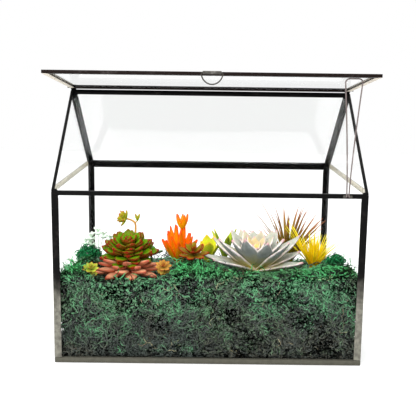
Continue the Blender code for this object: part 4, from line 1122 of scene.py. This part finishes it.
red_leaf = leaf_material(
    "red_leaf",
    Middle=(0.21, 0.12, 0.006), Young=(0.26, 0.3, 0.01), Base=(0.11, 0.13, 0.008),
    Edge=(0.3, 0.014, 0.006), Tip=(0.32, 0.012, 0.006), Under=(0.22, 0.022, 0.006),
    Edge_start=0.6, Under_share=0.8,
)
lime_leaf = leaf_material(
    "lime_leaf",
    Middle=(0.36, 0.44, 0.04), Young=(0.48, 0.52, 0.07), Base=(0.3, 0.4, 0.05),
    Edge=(0.48, 0.24, 0.05), Tip=(0.42, 0.08, 0.03), Under=(0.32, 0.27, 0.04),
)
amber_leaf = leaf_material(
    "amber_leaf",
    Middle=(0.46, 0.24, 0.04), Young=(0.56, 0.38, 0.06), Base=(0.42, 0.33, 0.06),
    Edge=(0.42, 0.07, 0.03), Tip=(0.36, 0.04, 0.02), Under=(0.36, 0.11, 0.04),
)
small_rosette(
    "small_red_rosette", (-0.0135, -0.055, 0.08121), 0.0155, 18 * DEG, (7, 6, 3), 41, red_leaf,
    unit="small", wide=0.42, skirted=False,
)
small_rosette("offset_left", (-0.0985, -0.0835, 0.07529), 0.008, 20 * DEG, (7, 6, 4), 43, lime_leaf)
small_rosette("offset_right", (-0.0385, -0.074, 0.07556), 0.008, 25 * DEG, (7, 6, 4), 47, amber_leaf)

# %% [markdown]
# ## The finger plant
#
# A flame-coloured plant burns orange at its tips and stays yellow at its base. Round, pointed
# fingers stand in three tiers round a middle shoot, whose tip forks into five.

# %% Finger plant
FINGER_BASE = Vector((-0.027, -0.018, 0.06872))
FINGER_SHAPE = {"width": 0.007, "thick": 0.0044, "curl": 10 * DEG, "cup": 0.0}
CROWN_SHAPE = {"width": 0.005, "thick": 0.0034, "curl": 34 * DEG, "cup": 0.0}

finger = units["finger"]
flame_leaf = leaf_material(
    "flame_leaf", soft=0.12,
    Middle=(0.98, 0.23, 0.002), Young=(1.0, 0.32, 0.002), Base=(0.9, 0.54, 0.004),
    Edge=(0.96, 0.12, 0.004), Tip=(0.95, 0.065, 0.008), Under=(0.96, 0.2, 0.002),
    Base_end=0.75, Mottle=0.12, Gloss=0.4,
)
dice = random.Random(3)
fingers = []
for tier, (count, rise, length) in enumerate(((8, 52, 0.024), (7, 66, 0.03), (5, 79, 0.031))):
    for i in range(count):
        out = flat_way(2 * math.pi * (i + 0.5 * tier) / count + dice.uniform(-0.12, 0.12))
        size = length * dice.uniform(0.85, 1.08)
        climb = rise * DEG + dice.uniform(-0.06, 0.06)
        foot = FINGER_BASE + out * (0.0036 - 0.0011 * tier)
        fingers.append(lay(finger, foot, out, UP, size, rise=climb, tone=tier / 2, **FINGER_SHAPE))
shoot = (FINGER_BASE, FINGER_BASE + Vector((0.0012, 0, 0.018)), FINGER_BASE + Vector((0.0024, 0, 0.0305)))
fingers.append(rod(curve_through(shoot), 0.002))
crown = shoot[-1] - UP * 0.0012
for i in range(5):
    out = flat_way(2 * math.pi * i / 5 + 0.2)
    fingers.append(lay(finger, crown, out, UP, 0.0145, rise=52 * DEG, tone=0.6, **CROWN_SHAPE))
fingers.append(foot_stem(FINGER_BASE, 0.012, 0.003, 0.0045))
join_parts("finger_plant_leaves", fingers, [flame_leaf], "flame_leaf", "finger_plant")

# %% [markdown]
# ## Broad leaves, green tips and a dark leaf
#
# Three small plants show only a few leaves each between the big ones: a broad yellow-green
# one, a row of green tips behind the grey rosette, and a dark leaf low at the left. Each is
# a fan of leaves from one foot, with its own angles and lengths.


# %% Fans of leaves
def fan(name, base, leaves, width, thick, curl, skin, stem):
    """Leaves from one foot. A leaf: swing and rise in degrees, and length."""
    made = []
    for number, (swing, rise, length) in enumerate(leaves):
        shape = (length, width, thick, rise * DEG, curl, 0.2)
        made.append(lay(units["small"], base, flat_way(swing * DEG), UP, *shape, tone=(number % 3) / 2))
    made.append(foot_stem(base, 0.008, 0.002, stem))
    join_parts(f"{name}_leaves", made, [skin], skin.name, name)


yellow_green_leaf = leaf_material(
    "yellow_green_leaf",
    Middle=(0.56, 0.66, 0.02), Young=(0.68, 0.72, 0.03), Base=(0.68, 0.6, 0.06),
    Edge=(0.7, 0.62, 0.04), Tip=(0.76, 0.46, 0.03), Under=(0.48, 0.58, 0.02),
)
tip_leaf = leaf_material(
    "tip_leaf",
    Middle=(0.3, 0.44, 0.02), Young=(0.46, 0.56, 0.03), Base=(0.36, 0.46, 0.06),
    Edge=(0.34, 0.44, 0.03), Tip=(0.52, 0.48, 0.04), Under=(0.22, 0.36, 0.02),
)
dark_skin = leaf_material(
    "dark_leaf",
    Middle=(0.05, 0.15, 0.04), Young=(0.07, 0.2, 0.05), Base=(0.08, 0.18, 0.05),
    Edge=(0.06, 0.14, 0.04), Tip=(0.06, 0.12, 0.04), Under=(0.04, 0.1, 0.03), Gloss=0.3,
)
fan(
    "broad_leaf_plant", (-0.001, -0.014, 0.0654),
    (
        (-80, 60, 0.023), (-15, 52, 0.025), (40, 62, 0.026),
        (150, 62, 0.021), (222, 66, 0.02), (100, 72, 0.026),
    ),
    width=0.0105, thick=0.0022, curl=16 * DEG, skin=yellow_green_leaf, stem=0.002,
)
fan(
    "green_tips", (0.016, 0.006, 0.06178),
    ((-10, 76, 0.034), (60, 68, 0.031), (150, 66, 0.032), (200, 74, 0.034), (280, 70, 0.03)),
    width=0.006, thick=0.002, curl=-8 * DEG, skin=tip_leaf, stem=0.0018,
)
fan(
    "dark_leaf", (-0.0535, -0.006, 0.0699),
    ((-20, 22, 0.013), (200, 18, 0.012), (95, 35, 0.012)),
    width=0.008, thick=0.0022, curl=0.0, skin=dark_skin, stem=0.0014,
)

# %% [markdown]
# ## Tufts of blades
#
# The air plant has long olive blades whose tips turn copper and curl out. The grass is
# short, bright yellow and dry. Both are one narrow blade, laid many times by a seeded rule.


# %% Tufts
def tuft(name, place, core_radius, rows, seed, skin, thick, extra, slim):
    """Blades as in the frame, with thinner ones between them."""
    dice = random.Random(seed)
    made = []
    for count, rise, length, width, curl, sweep_from, sweep_to in rows:
        for i in range(count):
            share = (i + 0.5) / count
            out = flat_way((sweep_from + (sweep_to - sweep_from) * share) * DEG + dice.uniform(-0.1, 0.1))
            size = length * dice.uniform(0.82, 1.08)
            climb = rise * DEG + dice.uniform(-0.07, 0.07)
            foot = Vector(place) + out * core_radius * 0.5
            made.append((foot, out, size, width, climb, curl * DEG))
    more = random.Random(seed + 100)
    for foot, out, size, width, climb, curl in list(made):
        for _ in range(extra):
            way = Matrix.Rotation(more.uniform(-0.35, 0.35), 3, "Z") @ out
            shorter = size * more.uniform(0.6, 1.0)
            made.append((foot, way, shorter, width * 0.8, climb + more.uniform(-0.16, 0.1), curl * 1.3))
    blades = []
    for number, (foot, out, size, width, climb, curl) in enumerate(made):
        shape = (size, width * slim, thick, climb, curl, 0.1, (number * 0.37) % 1.0)
        blades.append(lay(units["blade"], foot, out, UP, *shape, sway=0.02 * math.sin(5.0 * number)))
    blades.append(foot_stem(place, 0.008, 0.004, core_radius * 0.8))
    join_parts(f"{name}_blades", blades, [skin], skin.name, name)


air_leaf = leaf_material(
    "air_leaf",
    Middle=(0.22, 0.19, 0.012), Young=(0.3, 0.2, 0.024), Base=(0.15, 0.19, 0.012),
    Edge=(0.3, 0.19, 0.04), Tip=(0.4, 0.13, 0.06), Under=(0.15, 0.1, 0.012),
    Edge_start=0.9, Tip_start=0.45, Gloss=0.55,
)
yellow_grass = leaf_material(
    "yellow_grass",
    Middle=(0.98, 0.74, 0.008), Young=(1.0, 0.84, 0.02), Base=(0.9, 0.5, 0.008),
    Edge=(0.98, 0.74, 0.008), Tip=(1.0, 0.9, 0.08), Under=(0.94, 0.66, 0.008),
    Tip_start=0.7, Gloss=0.5,
)
air_rows = (  # count, rise, length, width, curl, sweep from, sweep to
    (9, 84, 0.062, 0.0034, -24, 0, 360),
    (7, 66, 0.06, 0.0032, -24, -60, 60),
    (5, 58, 0.05, 0.003, -30, 125, 215),
)
grass_rows = (
    (9, 84, 0.034, 0.0021, 4, 0, 360),
    (10, 74, 0.036, 0.002, -8, 10, 370),
    (7, 58, 0.031, 0.002, -14, -190, 60),
    (3, 62, 0.049, 0.0017, -6, 150, 190),
)
tuft(
    "air_plant", (0.0755, 0.009, 0.05764), 0.005, air_rows, 7, air_leaf,
    thick=0.0009, extra=2, slim=1.05,
)
tuft(
    "grass_tuft", (0.0965, -0.02, 0.06445), 0.0055, grass_rows, 9, yellow_grass,
    thick=0.0007, extra=3, slim=0.8,
)

# %% [markdown]
# ## The pale sprig
#
# Thin forked stems with white star florets stand at the left behind the moss. A floret is
# two rings of six bud scales, turned against each other.

# %% Pale sprig
SPRIG_BASE = Vector((-0.1015, -0.014, 0.06657))
FLORET_SCALE = (0.0062, 0.0028, 0.0008)
FLORET_GAP = 0.003

pale_floret = leaf_material(
    "pale_floret",
    Middle=(0.8, 0.9, 0.8), Young=(0.88, 0.94, 0.87), Base=(0.42, 0.7, 0.48),
    Edge=(0.8, 0.88, 0.78), Tip=(0.86, 0.92, 0.84), Under=(0.6, 0.76, 0.58),
)
sprig_tips = (
    (-0.012, 0.001, 0.017), (-0.0065, -0.003, 0.0225), (-0.001, 0.003, 0.026),
    (0.005, -0.002, 0.024), (0.011, 0.002, 0.02), (-0.008, 0.006, 0.015),
)
sprig = []
for number, (dx, dy, height) in enumerate(sprig_tips):
    tip = SPRIG_BASE + Vector((dx, dy, height))
    bend = SPRIG_BASE + Vector((dx * 0.35, dy * 0.35, height * 0.5))
    sprig.append(rod(curve_through((SPRIG_BASE - UP * 0.003, bend, tip)), 0.0005, 6))
    for ring in range(2):
        root = tip - UP * (0.0004 + FLORET_GAP * (1 - ring))
        rise = (26 + 20 * ring) * DEG
        for i in range(6):
            out = flat_way(2 * math.pi * (i + 0.5 * ring) / 6 + number)
            sprig.append(lay(bud, root, out, UP, *FLORET_SCALE, rise, tone=ring))
join_parts("pale_sprig_florets", sprig, [pale_floret], "pale_floret", "pale_sprig")

# %% [markdown]
# ## Moss
#
# Dyed sheet moss fills the lower half. It is a mat of curly strands 10 to 24 mm long and
# about 1 mm thick, with painted shade between them. Its colour changes in patches: emerald
# where the dye took and brown where it did not. Low down, below about 70 mm, a painted haze
# greys and lightens the colours, for the reflection of the white room in the glass. The moss
# is painted darker towards the bottom as shade, and near the floor painted shade makes it
# dark. Here and there a strand is straw-coloured.

# %% Moss material
# Heights between which the painted haze, the glass's reflection of the white room, fades out upward.
PAINTED_HAZE_START = 0.08
PAINTED_HAZE_END = 0.067

moss_colours, given, result = group(
    "Moss colours",
    (
        ("Color", "Deep", (0.008, 0.034, 0.01, 1.0)),
        ("Color", "Mean", (0.032, 0.15, 0.04, 1.0)),
        ("Color", "Bright", (0.09, 0.48, 0.16, 1.0)),
        ("Color", "Dusty deep", (0.066, 0.078, 0.07, 1.0)),
        ("Color", "Dusty mean", (0.104, 0.165, 0.11, 1.0)),
        ("Color", "Dusty bright", (0.14, 0.38, 0.19, 1.0)),
        ("Color", "Brown", (0.12, 0.105, 0.08, 1.0)),
        ("Color", "Straw", (0.42, 0.35, 0.21, 1.0)),
    ),
    (("Color", "Color"), ("Float", "Height")),
)
tree = moss_colours
place = object_place(tree)
tone = put(tree, "ShaderNodeAttribute", {"attribute_name": "tone"}).outputs["Fac"]
patches = noise(tree, place, 38.0, 5.0, 0.62)
tufts = noise(tree, place, 130.0, 2.0)
level = put(tree, "ShaderNodeSeparateXYZ", Vector=place).outputs["Z"]
light = times(tree, minus(tree, tone, 0.1), 1.25)
light = plus(tree, light, times(tree, minus(tree, patches, 0.5), 2.2))
light = plus(tree, light, times(tree, minus(tree, tufts, 0.5), 1.6))
# These two height ramps are painted shade: darker towards the bottom, and dark near the floor.
light = plus(tree, light, ramp(tree, level, 0.01, 0.064, -0.5, 0.3))
light = plus(tree, light, ramp(tree, level, 0.0055, 0.0085, -1.2, 0.0))
half = ramp(tree, light, 0.05, 0.6)
full = ramp(tree, light, 0.5, 1.1)
moss_without_haze = blend(tree, full, blend(tree, half, given["Deep"], given["Mean"]), given["Bright"])
# Painted haze: greyer, lighter colours stand for the white room reflected in the glass over the low moss.
painted_glass_haze = blend(tree, half, given["Dusty deep"], given["Dusty mean"])
painted_glass_haze = blend(tree, full, painted_glass_haze, given["Dusty bright"])
colour = blend(tree, ramp(tree, level, PAINTED_HAZE_END, PAINTED_HAZE_START, 1.0, 0.0), moss_without_haze, painted_glass_haze)
low = times(tree, ramp(tree, level, 0.06, 0.02, 0.05, 0.45), 0.2)
undyed = ramp(tree, plus(tree, noise(tree, place, 24.0, 3.0), low), 0.5, 0.66)
brown = times(tree, undyed, ramp(tree, tone, 0.35, 0.75, 0.15, 0.85))
colour = blend(tree, times(tree, brown, 0.6), colour, given["Brown"])
colour = blend(tree, times(tree, ramp(tree, tone, 0.993, 0.995), 0.6), colour, given["Straw"])
tree.links.new(colour, result["Color"])
tree.links.new(noise(tree, place, 900.0, 3.0), result["Height"])


def moss_material(name, bump, depth, **values):
    made, tree, shader = material(name, Roughness=0.9, Specular_IOR_Level=0.08)
    use_group(tree, shader, moss_colours, bump, depth, **values)
    return made


moss_skin = moss_material("moss", 0.4, 0.0003)
mound_skin = moss_material(
    "dark_moss", 0.4, 0.0003,
    Deep=(0.004, 0.03, 0.012), Mean=(0.008, 0.11, 0.036), Bright=(0.03, 0.3, 0.1),
)
# Painted shade: the darkest skin, for the bed seen between the strands.
painted_shade_skin = moss_material(
    "moss_painted_shade", 0.8, 0.001,
    Deep=(0.002, 0.01, 0.003), Mean=(0.005, 0.028, 0.006), Bright=(0.01, 0.06, 0.012),
    Dusty_deep=(0.034, 0.038, 0.035), Dusty_mean=(0.044, 0.056, 0.046), Dusty_bright=(0.052, 0.078, 0.056),
    Brown=(0.046, 0.04, 0.032), Straw=(0.046, 0.04, 0.032),
)
print("moss nodes:", len(moss_colours.nodes))

# %% [markdown]
# ## Painted shade under the strands
#
# Between the strands one looks into the shade of the mat, and that shade is painted. The
# frame's bed is copied, drawn in a little with shrink and fatten, so that the strands stand
# out of it, and given the darkest skin, as painted shade.

# %% Painted shade under the strands
CORE_INSET = 0.0011

core = copy_node("moss_bed", "moss_painted_shade", painted_shade_skin)
open_edit()
bpy.ops.transform.shrink_fatten(value=-CORE_INSET)
close_edit()
bpy.ops.object.shade_smooth()
settle(core, "house", "moss", "moss_bed")
print("moss depth faces:", len(core.data.polygons))

# %% [markdown]
# ## Strands
#
# One strand is drawn out once as a thin three-sided rod. Each copy starts at a root on the
# bed, runs along the surface with its own waves and bends back into the mat. Neighbours
# share a heading that changes slowly over the bed, because sheet moss is laid in handfuls.

# %% Strand unit
STRAND_STEPS = 8
WAVE = 0.009
INSIDE_X = 0.1239
INSIDE_Y = 0.0969
INSIDE_FLOOR = 0.0047

strand_stations = []
for k in range(STRAND_STEPS):
    slim = 1 - 0.5 * (k / STRAND_STEPS) ** 2
    strand_stations.append((k / STRAND_STEPS, slim, slim))
strand_stations.append((1.0, 0.0, 0.0))
strand = drawn_unit("strand", strand_stations, 3)


def unit_rows(rows):
    return rows / np.linalg.norm(rows, axis=-1, keepdims=True)


def drift(places):
    """A heading that changes slowly over the bed."""
    x, y, z = places.T
    slow = 2.4 * np.sin(58 * x + 37 * z + 31 * y + 1.1)
    quick = 1.7 * np.sin(97 * z - 52 * x + 71 * y + 0.4) + 1.3 * np.sin(141 * x + 66 * z - 49 * y + 2.0)
    return slow + quick


def grow_strands(name, roots, normals, lengths, radii, seed, climb, skin, slot, replaced=()):
    """Curly strands from roots, as one mesh."""
    dice = np.random.default_rng(seed)
    count = len(roots)
    spare = np.where(np.abs(normals[:, 2:3]) > 0.6, (0.0, 1.0, 0.0), (0.0, 0.0, 1.0))
    east = unit_rows(np.cross(spare, normals))
    north = np.cross(normals, east)
    heading = drift(roots) + dice.normal(scale=0.75, size=count)
    bend = dice.normal(scale=1.5, size=count)
    swing = dice.uniform(0.4, 1.3, count)
    phase = dice.uniform(0, 2 * math.pi, count)
    rise = dice.uniform(*climb, count)
    waves = 2 * math.pi * lengths / WAVE
    place = roots
    points = []
    ways = []
    for k in range(STRAND_STEPS + 1):
        share = k / STRAND_STEPS
        turn = (heading + bend * share + swing * np.sin(waves * share + phase))[:, None]
        pitch = (rise * (1 - 2.1 * share) + 0.4 * np.sin(waves * share * 0.8 + 2 * phase))[:, None]
        way = (east * np.cos(turn) + north * np.sin(turn)) * np.cos(pitch) + normals * np.sin(pitch)
        points.append(place)
        ways.append(way)
        place = place + way * (lengths / STRAND_STEPS)[:, None]
    points, ways = np.stack(points), np.stack(ways)
    side = unit_rows(np.cross(ways, normals[None]) + 1e-6)
    over = np.cross(side, ways)
    station = np.rint(strand["points"][:, 0] * STRAND_STEPS).astype(int)
    v, w = strand["points"][:, 1], strand["points"][:, 2]
    thick = radii[None, :, None]
    laid = points[station] + side[station] * thick * v[:, None, None]
    laid = laid + over[station] * thick * w[:, None, None]
    laid = np.transpose(laid, (1, 0, 2)).reshape(-1, 3)
    laid[:, 0] = np.clip(laid[:, 0], -INSIDE_X, INSIDE_X)
    laid[:, 1] = np.clip(laid[:, 1], -INSIDE_Y, INSIDE_Y)
    laid[:, 2] = np.maximum(laid[:, 2], INSIDE_FLOOR)
    per = len(v)
    faces = []
    for face in strand["faces"]:
        block = np.array(face)[None, :] + (np.arange(count) * per)[:, None]
        faces += block.tolist()
    tones = np.repeat(dice.uniform(0, 1, count), per)
    mesh = bpy.data.meshes.new(name)
    mesh.from_pydata(laid.tolist(), [], faces)
    mesh.attributes.new("tone", "FLOAT", "POINT").data.foreach_set("value", tones)
    mesh.materials.append(skin)
    mesh.shade_smooth()
    made = bpy.data.objects.new(name, mesh)
    bpy.context.scene.collection.objects.link(made)
    settle(made, "house", slot, *replaced)
    print(name, "strands", count, "triangles", sum(len(face) - 2 for face in strand["faces"]) * count)
    return made


# %% [markdown]
# ## Roots for the strands
#
# A strand can root anywhere on the bed. A triangle is drawn by chance, the larger the more
# often, and then a place on it. Scattering with a modifier would do the same, but here each
# face of the bed takes its own number and inset.

# %% Roots on the bed
bed = nodes["moss_bed"].data
bed.calc_loop_triangles()
corners = np.array([[bed.vertices[i].co[:] for i in tri.vertices] for tri in bed.loop_triangles])
facing = np.cross(corners[:, 1] - corners[:, 0], corners[:, 2] - corners[:, 0])
areas = np.linalg.norm(facing, axis=1) / 2
facing /= 2 * areas[:, None] + 1e-12
middles = corners.mean(axis=1)


def sample_bed(keep, count, seed, inset):
    """Random places on the kept faces, and their normals."""
    dice = np.random.default_rng(seed)
    chosen = np.flatnonzero(keep)
    share = areas[chosen] / areas[chosen].sum()
    pick = dice.choice(chosen, size=count, p=share)
    a = np.sqrt(dice.uniform(0, 1, count))[:, None]
    b = dice.uniform(0, 1, count)[:, None]
    tri = corners[pick]
    places = tri[:, 0] * (1 - a) + tri[:, 1] * a * (1 - b) + tri[:, 2] * a * b
    return places - facing[pick] * inset, facing[pick]


FACES = {
    "moss_front": (facing[:, 1] < -0.6) & (middles[:, 1] < -0.088),
    "moss_top": facing[:, 2] > 0.45,
    "moss_sides": ((np.abs(facing[:, 0]) > 0.6) & (np.abs(middles[:, 0]) > 0.115))
    | ((facing[:, 1] > 0.6) & (middles[:, 1] > 0.088)),
}
print("bed triangles:", {name: int(keep.sum()) for name, keep in FACES.items()})

# %% [markdown]
# ## Sheet moss
#
# The front, the top and the sides grow their strands as one piece each. The strands of the
# top stand a little deeper and climb more, because nothing presses them flat.

# %% Sheet moss
STRANDS = {  # count, inset, climb from and to
    "moss_front": (4300, 0.0004, (0.0, 0.5)),
    "moss_top": (4000, 0.0018, (0.1, 0.6)),
    "moss_sides": (3700, 0.0006, (0.0, 0.5)),
}
STRAND_LENGTHS = (0.01, 0.024)
STRAND_RADII = (0.00034, 0.00072)

for number, (name, keep) in enumerate(FACES.items()):
    count, inset, climb = STRANDS[name]
    dice = np.random.default_rng(200 + number)
    roots, normals = sample_bed(keep, count, 100 + number, inset)
    lengths = dice.uniform(*STRAND_LENGTHS, count)
    radii = dice.uniform(*STRAND_RADII, count)
    grow_strands(name, roots, normals, lengths, radii, 300 + number, climb, moss_skin, "moss")

# %% [markdown]
# ## Undyed twigs
#
# A few strands in the front of the mat took no dye. They are longer and straw-coloured, and
# lie just outside the others, so that they show.

# %% Undyed twigs
TWIGS = 26

twig_skin = moss_material(
    "twig", 0.4, 0.0003,
    Deep=(0.06, 0.045, 0.025), Mean=(0.14, 0.105, 0.06), Bright=(0.3, 0.24, 0.14),
    Dusty_deep=(0.1, 0.085, 0.06), Dusty_mean=(0.21, 0.18, 0.12), Dusty_bright=(0.42, 0.36, 0.24),
)
dice = np.random.default_rng(77)
roots, normals = sample_bed(FACES["moss_front"], TWIGS, 78, -0.0004)
lengths = dice.uniform(0.014, 0.03, TWIGS)
radii = dice.uniform(0.0003, 0.00055, TWIGS)
grow_strands("moss_twigs", roots, normals, lengths, radii, 79, (0.0, 0.3), twig_skin, "moss")

# %% [markdown]
# ## Mound and tuft of darker moss
#
# A heap of darker moss stands at the left and a smaller one at the right. Roots are spread
# over an egg-shaped heap, and short strands climb steeply from them.


# %% Mound and tuft
def clump(name, place, radii, count, seed):
    """Strands over a small heap."""
    dice = np.random.default_rng(seed)
    around = dice.uniform(0, 2 * math.pi, count)
    climb = dice.uniform(-0.2, 1.0, count)
    flat = np.sqrt(np.clip(1 - np.clip(climb, -0.99, 0.99) ** 2, 0, 1))
    normals = np.column_stack((np.cos(around) * flat, np.sin(around) * flat, climb))
    normals /= np.linalg.norm(normals, axis=1)[:, None]
    roots = np.array(place) + normals * np.array(radii) * dice.uniform(0.4, 0.95, count)[:, None]
    lengths = dice.uniform(0.005, 0.01, count)
    thick = dice.uniform(0.00028, 0.0005, count)
    grow_strands(
        f"{name}_strands", roots, normals, lengths, thick, seed, (0.3, 1.3), mound_skin, "dark_moss", (name,)
    )


clump("moss_mound", (-0.1065, -0.042, 0.078), (0.0105, 0.0085, 0.007), 420, 51)
clump("moss_tuft", (0.111, -0.05, 0.0769), (0.0075, 0.006, 0.0035), 260, 53)
